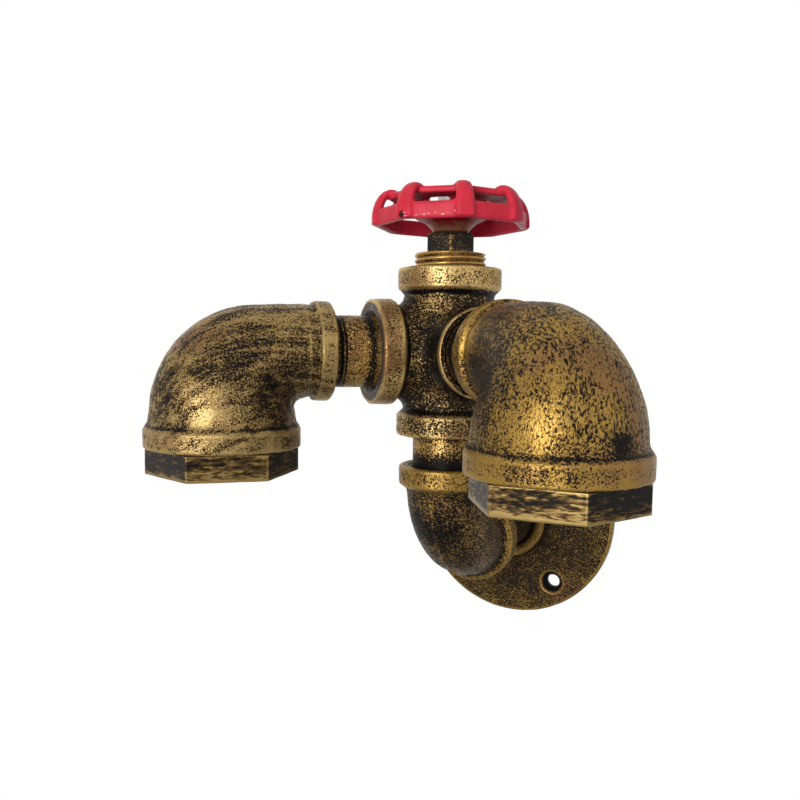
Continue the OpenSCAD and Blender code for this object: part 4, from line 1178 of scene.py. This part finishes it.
class PIPELIGHT_OT_handwheel(Operator):
    """Red handwheel: eight-sided skirt and plate, arched ribs, and a bell with four walls under the plate"""

    bl_idname = "pipelight.handwheel"
    bl_label = "Handwheel"

    def execute(self, context):
        light = context.scene.pipe_light
        b = light.valve
        base = tee_centre(light) + np.array([0, 0, b.skirt_z])
        place = axes(base, (0, 0, 1), (1, 0, 0))
        ribs, walls = 8, 4
        seat = b.plate_z - b.plate_t / 2
        plate_r = b.wheel_r - b.plate_in
        dish_r = plate_r - b.plate_rim
        edge, skirt_r = 0.9 * MM, b.wheel_r - 0.2 * MM
        skirt_in = skirt_r - b.skirt_t / math.cos(math.pi / ribs)
        skirt = [
            (skirt_in, 0, edge), (skirt_r, 0, edge), (skirt_r, b.skirt_h, edge), (skirt_in, b.skirt_h, edge)
        ]
        # The plate's top and underside fall slightly towards the dish
        mouth_r, fall = dish_r - 2.2 * MM, 0.6 * MM
        plate = [
            (mouth_r, seat - b.plate_t / 2 - fall, 0.4 * MM),
            (plate_r, seat - b.plate_t / 2, 0.8 * MM),
            (plate_r, seat + b.plate_t / 2, 0.8 * MM),
            (mouth_r, seat + b.plate_t / 2 - fall, 0.4 * MM),
        ]
        sheets = [self.sided(skirt, 0, place, b, ribs), self.sided(plate, dish_r, place, b, ribs)]
        # Hub with a flare like a bell: radius, height above the hub's foot and rounding
        low, lip_r = -b.hub_drop, dish_r - 2.6 * MM
        flare = [
            (0, 0, 0),
            (b.hub_r - 0.8 * MM, 0, 0.3 * MM),
            (b.hub_r, 1.5 * MM, 2 * MM),
            (10.0 * MM, 3.7 * MM, 3 * MM),
            (lip_r, 6.0 * MM, 0.5 * MM),
            (lip_r, 7.8 * MM, 0.5 * MM),
            (10.4 * MM, 6.0 * MM, 2 * MM),
            (b.hub_r, 5.4 * MM, 1 * MM),
            (b.hub_r, b.hub_h, 0.5 * MM),
            (0, b.hub_h, 0),
        ]
        points, _ = outline([(r, low + h, rounding) for r, h, rounding in flare], 0.6 * MM)
        sheets.append(sheet(turned(points, place, angles(120))))
        # A rib is broad and flat at its foot, and slender and round at its top
        outer, inner = self.rib_curves(b, seat)
        climb = np.clip(outer[:, 1] / b.wheel_h, 0, 1)
        wide, power = b.rib_w / 2 * (1.2 - 0.3 * climb), 0.55 + 0.4 * climb**2
        for i in range(ribs):
            sheets.append(self.strip(base, outer, inner, wide, b.wheel_turn + i * TURN / ribs, power))
        # Four bent walls lean out from the bell to the plate
        steps, stand = 8, 6.8 * MM
        ride = np.linspace(0, 1, steps)
        wall = np.stack([dish_r - 3.4 * MM + 2.4 * MM * ride, low + stand + (seat - low - stand) * ride], 1)
        thick, wide, power = np.array([0.9, -0.4]) * MM, 0.52 * wall[:, 0], np.full(steps, 0.4)
        for i in range(walls):
            turn = b.wheel_turn + (i - 0.8) * TURN / walls
            sheets.append(self.strip(base, wall + thick, wall - thick, wide, turn, power, bent=True))
        fused = self.fused(context, mesh_of("handwheel_shells", sheets))
        place_piece("handwheel_enamel", fused, "wheel_enamel", "wheel", "handwheel")
        return {"FINISHED"}

    def sided(self, corners, bored, place, b, sides):
        """Outline carried round a soft polygon, apart from what is nearer the axis than the bore."""
        points, _ = outline(corners, 0.8 * MM)
        v = angles(320)
        polygon = polygon_radius(v, b.wheel_turn, 1.0, sides, 60)
        flat = np.where(points[:, :1] > bored, math.cos(math.pi / sides) * polygon, 1.0)
        return sheet(turned(points, place, v, points[:, :1] * flat))

    def rib_curves(self, b, seat):
        """Outer and inner curve of a rib in its radial plane, as (radius, height). Both rise from the
        skirt on a quarter ellipse. Behind the top the outer one falls to the plate."""
        rise = np.linspace(0, TURN / 4, 14)
        fall = np.linspace(TURN / 4, TURN / 2, 8)[1:]
        foot, spring, top_r = 0.6 * MM, b.skirt_h / 2, b.wheel_r - b.rib_run
        leg = b.rib_run - b.rib_leg
        outer = np.concatenate([
            [(b.wheel_r, foot)],
            np.stack([top_r + b.rib_run * np.cos(rise), spring + (b.wheel_h - spring) * np.sin(rise)], 1),
            np.stack([top_r + b.rib_back * np.cos(fall), seat + (b.wheel_h - seat) * np.sin(fall)], 1),
        ])
        inner = np.concatenate([
            [(b.wheel_r - b.rib_leg, foot)],
            np.stack([top_r + leg * np.cos(rise), spring + (seat - spring) * np.sin(rise)], 1),
            np.stack([top_r + b.rib_back * np.cos(fall), np.full(len(fall), seat - 0.3 * MM)], 1),
        ])
        return outer, inner

    def strip(self, base, outer, inner, half_width, turn, power, bent=False):
        """Bar with a rounded section: a superellipse of the given powers between an outer and an inner
        curve in a radial plane, as wide as given, turned about the axis and bent round it if asked."""
        around = angles(28)
        c, s, power = np.cos(around), np.sin(around), power[:, None]
        c, s = np.sign(c) * np.abs(c) ** power, np.sign(s) * np.abs(s) ** power
        middle, reach = (outer + inner) / 2, (outer - inner) / 2
        plane = middle[:, None] + reach[:, None] * c[..., None]
        far, wide = plane[..., 0], half_width[:, None] * s
        if bent:
            far, wide = far * np.cos(wide / far), far * np.sin(wide / far)
        bar = np.stack([far, wide, plane[..., 1]], -1)
        first, last = (np.broadcast_to(end.mean(1, keepdims=True), end.shape) for end in (bar[:1], bar[-1:]))
        bar = np.concatenate([first, bar, last])
        x = bar[..., 0] * math.cos(turn) - bar[..., 1] * math.sin(turn)
        y = bar[..., 0] * math.sin(turn) + bar[..., 1] * math.cos(turn)
        return sheet(base + np.stack([x, y, bar[..., 2]], -1), loop=False)

    def fused(self, context, mesh):
        """The shells as one skin, with smoothing that rounds the creases as thick enamel does"""
        shells = bpy.data.objects.new("handwheel_shells", mesh)
        context.scene.collection.objects.link(shells)
        fuse = shells.modifiers.new("fuse", "REMESH")
        fuse.mode, fuse.voxel_size, fuse.use_smooth_shade = "VOXEL", 0.42 * MM, True
        soften = shells.modifiers.new("soften", "SMOOTH")
        soften.factor, soften.iterations = 0.5, 9
        skin = bpy.data.meshes.new_from_object(shells.evaluated_get(context.evaluated_depsgraph_get()))
        bpy.data.objects.remove(shells)
        skin.name = "handwheel_enamel"
        return skin


class PIPELIGHT_OT_spindle(Operator):
    """Spindle, washer and nut that hold the handwheel"""

    bl_idname = "pipelight.spindle"
    bl_label = "Spindle"

    def execute(self, context):
        light = context.scene.pipe_light
        b = light.valve
        place = run_axis(light)
        foot = b.skirt_z - b.hub_drop
        head = foot + b.hub_h
        square_r = b.square * 1.4
        points, _ = outline([
            (0, b.rotor_z, 0),
            (b.spindle_r, b.rotor_z, 0.2 * MM),
            (b.spindle_r, foot, 0),
            (square_r, foot, 0),
            (square_r, head, 0),
            (b.end_r, head, 0),
            (b.end_r, b.spindle_top, 0.4 * MM),
            (0, b.spindle_top, 0),
        ], 0.25 * MM)
        v = angles(80)
        r, height = points[:, :1], points[:, 1]
        pitch, depth = 0.8 * MM, 0.35 * MM
        cut = thread(height, v, pitch, depth, head, b.spindle_top + 1 * MM)
        radius = r - np.where(r > b.end_r - 0.05 * MM, cut, 0)
        square = polygon_radius(v, b.wheel_turn + TURN / 8, b.square, 4, 80)
        on_square = ((height >= foot) & (height <= head) & (points[:, 0] > b.end_r))[:, None]
        radius = np.where(on_square, np.minimum(radius, square), radius)
        spindle = sheet(turned(points, place, v, radius))
        add_piece("spindle", "turned", [spindle], "zinc_plate", "wheel")

        hole, low = b.end_r + 0.1 * MM, head + b.washer_t
        points, _ = outline([
            (hole, head, 0), (b.washer_r, head, 0.2 * MM), (b.washer_r, low, 0.3 * MM), (hole, low, 0.2 * MM)
        ], 0.5 * MM)
        washer = sheet(turned(points, place, angles(96)))
        add_piece("wheel_washer", "pressed", [washer], "zinc_plate", "wheel")

        hole, high = b.end_r + FIT, head + b.washer_t + b.nut_h
        corner = b.nut_flat / math.cos(TURN / 12)
        points, _ = outline([
            (hole, low, 0),
            (corner - 0.5 * MM, low, 0.1 * MM),
            (corner + 0.3 * MM, low + 0.5 * MM, 0.2 * MM),
            (corner + 0.2 * MM, high - 0.9 * MM, 0.2 * MM),
            (b.nut_flat - 0.2 * MM, high, 0.2 * MM),
            (hole, high, 0.1 * MM),
        ], 0.3 * MM)
        v = angles(150, b.wheel_turn)
        hexagon = polygon_radius(v, b.wheel_turn, b.nut_flat, 6, 80)
        r = points[:, :1]
        nut = sheet(turned(points, place, v, np.where(r > b.end_r + 0.4 * MM, np.minimum(r, hexagon), r)))
        add_piece("wheel_nut", "turned", [nut], "zinc_plate", "wheel")
        return {"FINISHED"}


class PIPELIGHT_OT_reducing_elbows(Operator):
    """Reducing elbow of each lamp head: a loft through an inside corner, with a band on each end"""

    bl_idname = "pipelight.reducing_elbows"
    bl_label = "Reducing Elbows"

    def execute(self, context):
        light = context.scene.pipe_light
        for side, hand in HANDS:
            part = self.elbow(light, side, hand)
            finish = "cast_pale" if side == "left" else "cast_coarse"
            node, lump = f"{side}_reducing_elbow", light.pipe.lump
            add_piece(node, "cast", [part], finish, f"{side}_head", lump=lump, seed=51 + hand)
        return {"FINISHED"}

    def outer_wall(self, head, t):
        """Distance from the inside corner's centre to the outer wall at a turn of the bend: the
        upright side, then an arc, then a top that rises gently to the small end."""
        corner_x, corner_z = head.large_r + head.corner_r, -head.small_r - head.corner_r
        arc_x, arc_z = head.outer_bend - head.large_r, head.small_r - head.dome_drop - head.outer_bend
        rise = head.dome_drop / (corner_x - arc_x)
        side = (corner_x + head.large_r) / np.maximum(np.cos(t), 1e-6)
        top = (head.small_r - corner_z) / np.maximum(np.sin(t) + rise * np.cos(t), 1e-6)
        dx, dz = corner_x - arc_x, corner_z - arc_z
        b = dz * np.sin(t) - dx * np.cos(t)
        arc = -b + np.sqrt(b * b - (dx * dx + dz * dz - head.outer_bend**2))
        on_top = corner_x - top * np.cos(t) >= arc_x
        return np.where(corner_z + side * np.sin(t) <= arc_z, side, np.where(on_top, top, arc))

    def elbow(self, light, side, hand):
        """Outline of (inset from the body's skin, way along the bend), carried through sections that
        turn about the inside corner. A section is an ellipse that reaches from the corner to the outer
        wall, and its half width grows from the small radius to the large one with the cosine's fourth
        power. Towards the large band the skin spreads, first with the square of the way, then evenly."""
        p, h, f = light.pipe, light.head, light.finish
        corner_x, corner_z = h.large_r + h.corner_r, -h.small_r - h.corner_r
        small, large, bend = h.small_len - corner_x, h.large_len + corner_z, 46 * MM
        total = small + bend + large
        core = h.small_r - p.bore_r
        shell = h.large_r - h.large_bore_r
        raised, proud = h.small_r - h.small_band_r, h.large_band_r - h.large_r
        half = p.slope / 2
        corners = [
            (core - p.mouth_flare, 0, 0.25 * MM),
            (raised, 0, p.edge),
            # The small band ends in a steep shoulder with a shallow undercut
            (raised, h.small_band_w - 0.4 * MM, 0.5 * MM),
            (0.5 * MM, h.small_band_w + 0.6 * MM, 0.6 * MM),
            (0, h.small_band_w + 4 * MM, 2 * MM),
            (0, total - h.large_band_w - half, p.slope),
            (-proud, total - h.large_band_w + half, p.edge),
            (-proud, total, p.edge),
            (shell - p.mouth_flare, total, 0.25 * MM),
            (shell, total - p.mouth_depth, 0.2 * MM),
            (shell, total - large, 0),
            (h.small_r - p.passage_r, small + 10 * MM, 0),
            (core, small + 5 * MM, 0),
            (core, p.mouth_depth, 0.2 * MM),
        ]
        points, wear = outline(corners, 0.7 * MM)
        inset, s = points.T
        v = angles(200)
        t = (1 - np.clip((s - small) / bend, 0, 1)) * TURN / 4
        below = np.clip((s - small - bend) / (large - h.large_band_w), 0, 1)
        spread = h.large_flare / 2 * (np.clip(1 - t / (TURN / 12), 0, 1) ** 2 + below)
        inset = inset - spread * np.clip(1 - np.abs(inset) / proud, 0, 1)
        out = self.outer_wall(h, t)
        middle = (out + h.corner_r) / 2
        deep = (out - h.corner_r) / 2 - inset
        wide = h.small_r + (h.large_r - h.small_r) * np.cos(t) ** 4 - inset
        reach = middle[:, None] + deep[:, None] * np.cos(v)
        x = corner_x - reach * np.cos(t)[:, None] + np.clip(small - s, 0, None)[:, None]
        y = wide[:, None] * np.sin(v)
        z = corner_z + reach * np.sin(t)[:, None] - np.clip(s - small - bend, 0, None)[:, None]
        way, up = arm_direction(light, hand), np.array([0, 0, 1.0])
        across = np.cross((0, 0, 1), way)
        rings = head_centre(light, hand) - x[..., None] * way - y[..., None] * across + z[..., None] * up
        if side == "left":
            # Brushed in arcs about a point under the mouth
            swing = 75 * MM
            far, high = x - 20 * MM, z + swing
            brush = np.stack([swing * np.arctan2(high, far), np.hypot(far, high), y], -1)
        else:
            # Brushed along the bend
            brush = np.stack([np.repeat(s[:, None], len(v), 1), wide[:, None] * np.cos(v), y], -1)
        # A thin dark line stays in the hollow above the large band
        rim = total - h.large_band_w - 0.3 * MM
        banded = (s < h.small_band_w) | (s > total - h.large_band_w)
        tone = np.where(banded, f.band_cover, f.cast_cover) - 0.45 * bell(s - rim, 0.5 * MM)
        # The body's patches hold a painted highlight under the key lamp as well as uneven gold
        on_band, on_body = patches(rings, HEAD_BAND_GOLD[side]), patches(rings, HEAD_GOLD_AND_HIGHLIGHT[side])
        gold = brushed(tone, wear, 0.25, 0.08)[:, None] + np.where(banded[:, None], on_band, on_body)
        return sheet(rings, gold, brush, copper=patches(rings, HEAD_COPPER[side]))


class PIPELIGHT_OT_hex_bushings(Operator):
    """Hexagonal bushing under each reducing elbow"""

    bl_idname = "pipelight.hex_bushings"
    bl_label = "Hexagonal Bushings"

    def execute(self, context):
        light = context.scene.pipe_light
        p, h = light.pipe, light.head
        top = -h.large_len - h.hex_gap
        low = top - h.hex_h
        peak = top + h.spigot_len
        seat = low + h.lip_h
        corners = [
            (h.lip_r, low, 0.4 * MM),
            (h.hex_flat, low, 0.35 * MM),
            (h.hex_flat, top, 0.35 * MM),
            (h.spigot_r, top, 0.2 * MM),
            (h.spigot_r, peak, 0.3 * MM),
            (h.seat_r, peak, 0.2 * MM),
            (h.seat_r, seat, 0),
            (h.lip_r, seat, 0.2 * MM),
        ]
        points, wear = outline(corners, 0.45 * MM)
        r, height = points[:, :1], points[:, 1:]
        # The outline swells to the hexagon beyond the spigot
        swell = np.clip((r - h.spigot_r) / (h.hex_flat - h.spigot_r), 0, 1)
        side_face = (height > low) & (height < top + 0.1 * MM) & (r > h.spigot_r + 1 * MM)
        # The flats are gilded along their lower edges
        lower_edge = np.where(side_face, 0.8 * bell(height - low, 1.9 * MM), 0)
        for side, hand in HANDS:
            corner = h.left_corner if hand < 0 else h.right_corner
            v = angles(264, corner)
            hexagon = polygon_radius(v, corner, h.hex_flat, 6, 200)
            rings = turned(points, lamp_axis(light, hand), v, r + swell * (hexagon - h.hex_flat))
            flat = np.floor(((v - corner) / (TURN / 6)) % 6).astype(int)
            near_corner = np.clip((hexagon / h.hex_flat - 1.135) / 0.015, 0, 1)
            tone = np.where(side_face, np.array(FLAT_GOLD[side])[flat] + 0.3 * near_corner, 0.45)
            gold = tone + 0.3 * np.clip(wear, 0, 1)[:, None] + lower_edge
            bare = np.where(side_face, np.array(FLAT_BARE[side])[flat], 0.0)
            # Scratches run round the hexagon
            brush = np.stack(np.broadcast_arrays(0.3 * h.hex_flat * v, height, r), -1)
            part, node = sheet(rings, gold, brush, bare), f"{side}_hex_bushing"
            add_piece(node, "turned", [part], "hex_gold", f"{side}_head", lump=0.3 * p.lump, seed=61)
        return {"FINISHED"}


class PIPELIGHT_OT_lamp_holders(Operator):
    """Ceramic lamp holder and rolled screw shell in each head"""

    bl_idname = "pipelight.lamp_holders"
    bl_label = "Lamp Holders"

    def execute(self, context):
        light = context.scene.pipe_light
        h = light.head
        low = -h.large_len - h.hex_gap - h.hex_h + h.lip_h
        foot = low + h.shell_set
        head = foot + h.shell_len
        ceiling = head + 2.5 * MM
        outer = h.shell_r + h.shell_t
        inner = outer + 0.1 * MM
        holder, _ = outline([
            (0, ceiling, 0),
            (inner, ceiling, 0.8 * MM),
            (inner, low, 0.5 * MM),
            (h.holder_r, low, 0.6 * MM),
            (h.holder_r, low + h.holder_foot, 0.6 * MM),
            (h.holder_neck_r, low + h.holder_foot, 0.4 * MM),
            (h.holder_neck_r, low + h.holder_h, 1.0 * MM),
            (0, low + h.holder_h, 0),
        ])
        edge = 0.1 * MM
        shell, _ = outline([
            (h.shell_r, foot, edge), (outer, foot, edge), (outer, head, edge), (h.shell_r, head, edge)
        ], 0.35 * MM)
        v = angles(128)
        # The rolled thread is a sine wave that climbs one pitch a turn
        roll = h.shell_wave * (np.cos(TURN * (shell[:, 1:] / h.shell_pitch - v / TURN)) - 1)
        for side, hand in HANDS:
            place, body = lamp_axis(light, hand), f"{side}_head"
            glazed = sheet(turned(holder, place, v))
            rolled = sheet(turned(shell, place, v, shell[:, :1] + roll))
            add_piece(f"{side}_lamp_holder", "glazed", [glazed], "glazed_ceramic", body)
            add_piece(f"{side}_screw_shell", "rolled", [rolled], "pressed_brass", body)
        return {"FINISHED"}


# Stage


class PIPELIGHT_OT_stage(Operator):
    """Pale floor, white surroundings, soft lamps and the camera"""

    bl_idname = "pipelight.stage"
    bl_label = "Stage"

    def execute(self, context):
        scene = context.scene
        scene.view_settings.view_transform = "Standard"
        self.floor(scene)
        self.surroundings(scene)
        for name, (spot, size, watts) in LAMPS.items():
            lamp = bpy.data.lights.new(name, "AREA")
            lamp.shape, lamp.size, lamp.energy = "DISK", size, watts
            holder = bpy.data.objects.new(name, lamp)
            aim = np.array(LAMP_AIM) - np.array(spot)
            holder.matrix_world = self.facing(spot, -aim / np.linalg.norm(aim), 0.0)
            scene.collection.objects.link(holder)
        self.camera(scene)
        return {"FINISHED"}

    def facing(self, spot, back, roll):
        """Matrix of a lamp or camera at a spot, whose back points along a vector, turned by a roll."""
        right = np.cross((0, 0, 1), back)
        right /= np.linalg.norm(right)
        up = np.cross(back, right)
        c, s = math.cos(roll), math.sin(roll)
        rows = np.eye(4)
        rows[:3] = np.stack([right * c + up * s, up * c - right * s, back, spot], 1)
        return Matrix(rows.tolist())

    def floor(self, scene):
        """Level disc well under the light, so that it lies below the picture"""
        v, r = angles(96), np.array(FLOOR_RINGS)[:, None]
        x, y, z = FLOOR_CENTRE
        rings = np.stack(np.broadcast_arrays(r * np.cos(v) + x, r * np.sin(v) + y, z), -1)
        mesh = bpy.data.meshes.new("floor")
        mesh.from_pydata(rings.reshape(-1, 3), [], quads(len(r), len(v), False))
        g = Graph("floor")
        place = g.place()
        dust = g.noise(place, 0.05, 2.0)
        pale = g.mix(g.step(dust, 0.3, 0.7, 0.0, 0.05), (0.84, 0.84, 0.84), (0.78, 0.78, 0.78))
        # The eye sees the floor near white, and white at its edge. It lights the object as a grey one does
        seen = g.add("ShaderNodeLightPath").outputs["Is Camera Ray"]
        glow = g.times(seen, g.step(g.distance(place, FLOOR_CENTRE), 0.2, 0.43, 0.45, 1.0))
        g.set(Base_Color=pale, Roughness=0.7, Emission_Color=(1, 1, 1, 1), Emission_Strength=glow)
        mesh.materials.append(g.material)
        floor = bpy.data.objects.new("floor", mesh)
        scene.collection.objects.link(floor)

    def surroundings(self, scene):
        """World that is white to the eye and in reflections, and a softer grey as a light"""
        world = bpy.data.worlds.new("surroundings")
        world.use_nodes = True
        tree = world.node_tree
        tree.nodes.clear()
        path = tree.nodes.new("ShaderNodeLightPath")
        seen = path.outputs["Is Camera Ray"]
        for ray in ("Is Glossy Ray", "Is Transmission Ray"):
            either = tree.nodes.new("ShaderNodeMath")
            either.operation = "MAXIMUM"
            tree.links.new(seen, either.inputs[0])
            tree.links.new(path.outputs[ray], either.inputs[1])
            seen = either.outputs[0]
        level = tree.nodes.new("ShaderNodeMapRange")
        tree.links.new(seen, level.inputs["Value"])
        level.inputs["To Min"].default_value = AMBIENT
        glow = tree.nodes.new("ShaderNodeBackground")
        tree.links.new(level.outputs[0], glow.inputs["Strength"])
        glow.inputs["Color"].default_value = (1, 1, 1, 1)
        tree.links.new(glow.outputs[0], tree.nodes.new("ShaderNodeOutputWorld").inputs["Surface"])
        scene.world = world

    def camera(self, scene):
        """Camera of the photograph: its place, heading, height angle and roll for a square picture"""
        heading, height, roll = (math.radians(a) for a in EYE_ANGLES)
        level = math.cos(height)
        back = np.array([math.sin(heading) * level, -math.cos(heading) * level, math.sin(height)])
        eye = bpy.data.cameras.new("camera")
        eye.sensor_width, eye.lens = SENSOR, SENSOR * EYE_FOCUS / PICTURE
        eye.clip_start, eye.clip_end = 0.01, 50
        camera = bpy.data.objects.new("camera", eye)
        camera.matrix_world = self.facing(EYE, back, roll)
        scene.collection.objects.link(camera)
        scene.camera = camera


class PIPELIGHT_PT_sidebar(Panel):
    """Sidebar with the pieces of the pipe wall light"""

    bl_label = "Pipe Light"
    bl_idname = "PIPELIGHT_PT_sidebar"
    bl_space_type = "VIEW_3D"
    bl_region_type = "UI"
    bl_category = "Pipe Light"

    def draw(self, context):
        for step in STEPS:
            self.layout.operator(step.bl_idname)


STEPS = (
    PIPELIGHT_OT_finishes,
    PIPELIGHT_OT_wall_flange,
    PIPELIGHT_OT_pipe_nipples,
    PIPELIGHT_OT_lower_elbow,
    PIPELIGHT_OT_side_outlet_tee,
    PIPELIGHT_OT_valve_top,
    PIPELIGHT_OT_handwheel,
    PIPELIGHT_OT_spindle,
    PIPELIGHT_OT_reducing_elbows,
    PIPELIGHT_OT_hex_bushings,
    PIPELIGHT_OT_lamp_holders,
    PIPELIGHT_OT_stage,
)
GROUPS = (PipeSizes, FlangeSizes, FittingSizes, HeadSizes, ValveSizes, Finishes, PipeLight)


def register():
    for item in (*GROUPS, *STEPS, PIPELIGHT_PT_sidebar):
        bpy.utils.register_class(item)
    bpy.types.Scene.pipe_light = PointerProperty(type=PipeLight)


def unregister():
    del bpy.types.Scene.pipe_light
    for item in reversed((*GROUPS, *STEPS, PIPELIGHT_PT_sidebar)):
        bpy.utils.unregister_class(item)


def main():
    register()
    for step in STEPS:
        group, name = step.bl_idname.split(".")
        getattr(getattr(bpy.ops, group), name)()


if __name__ == "__main__":
    main()
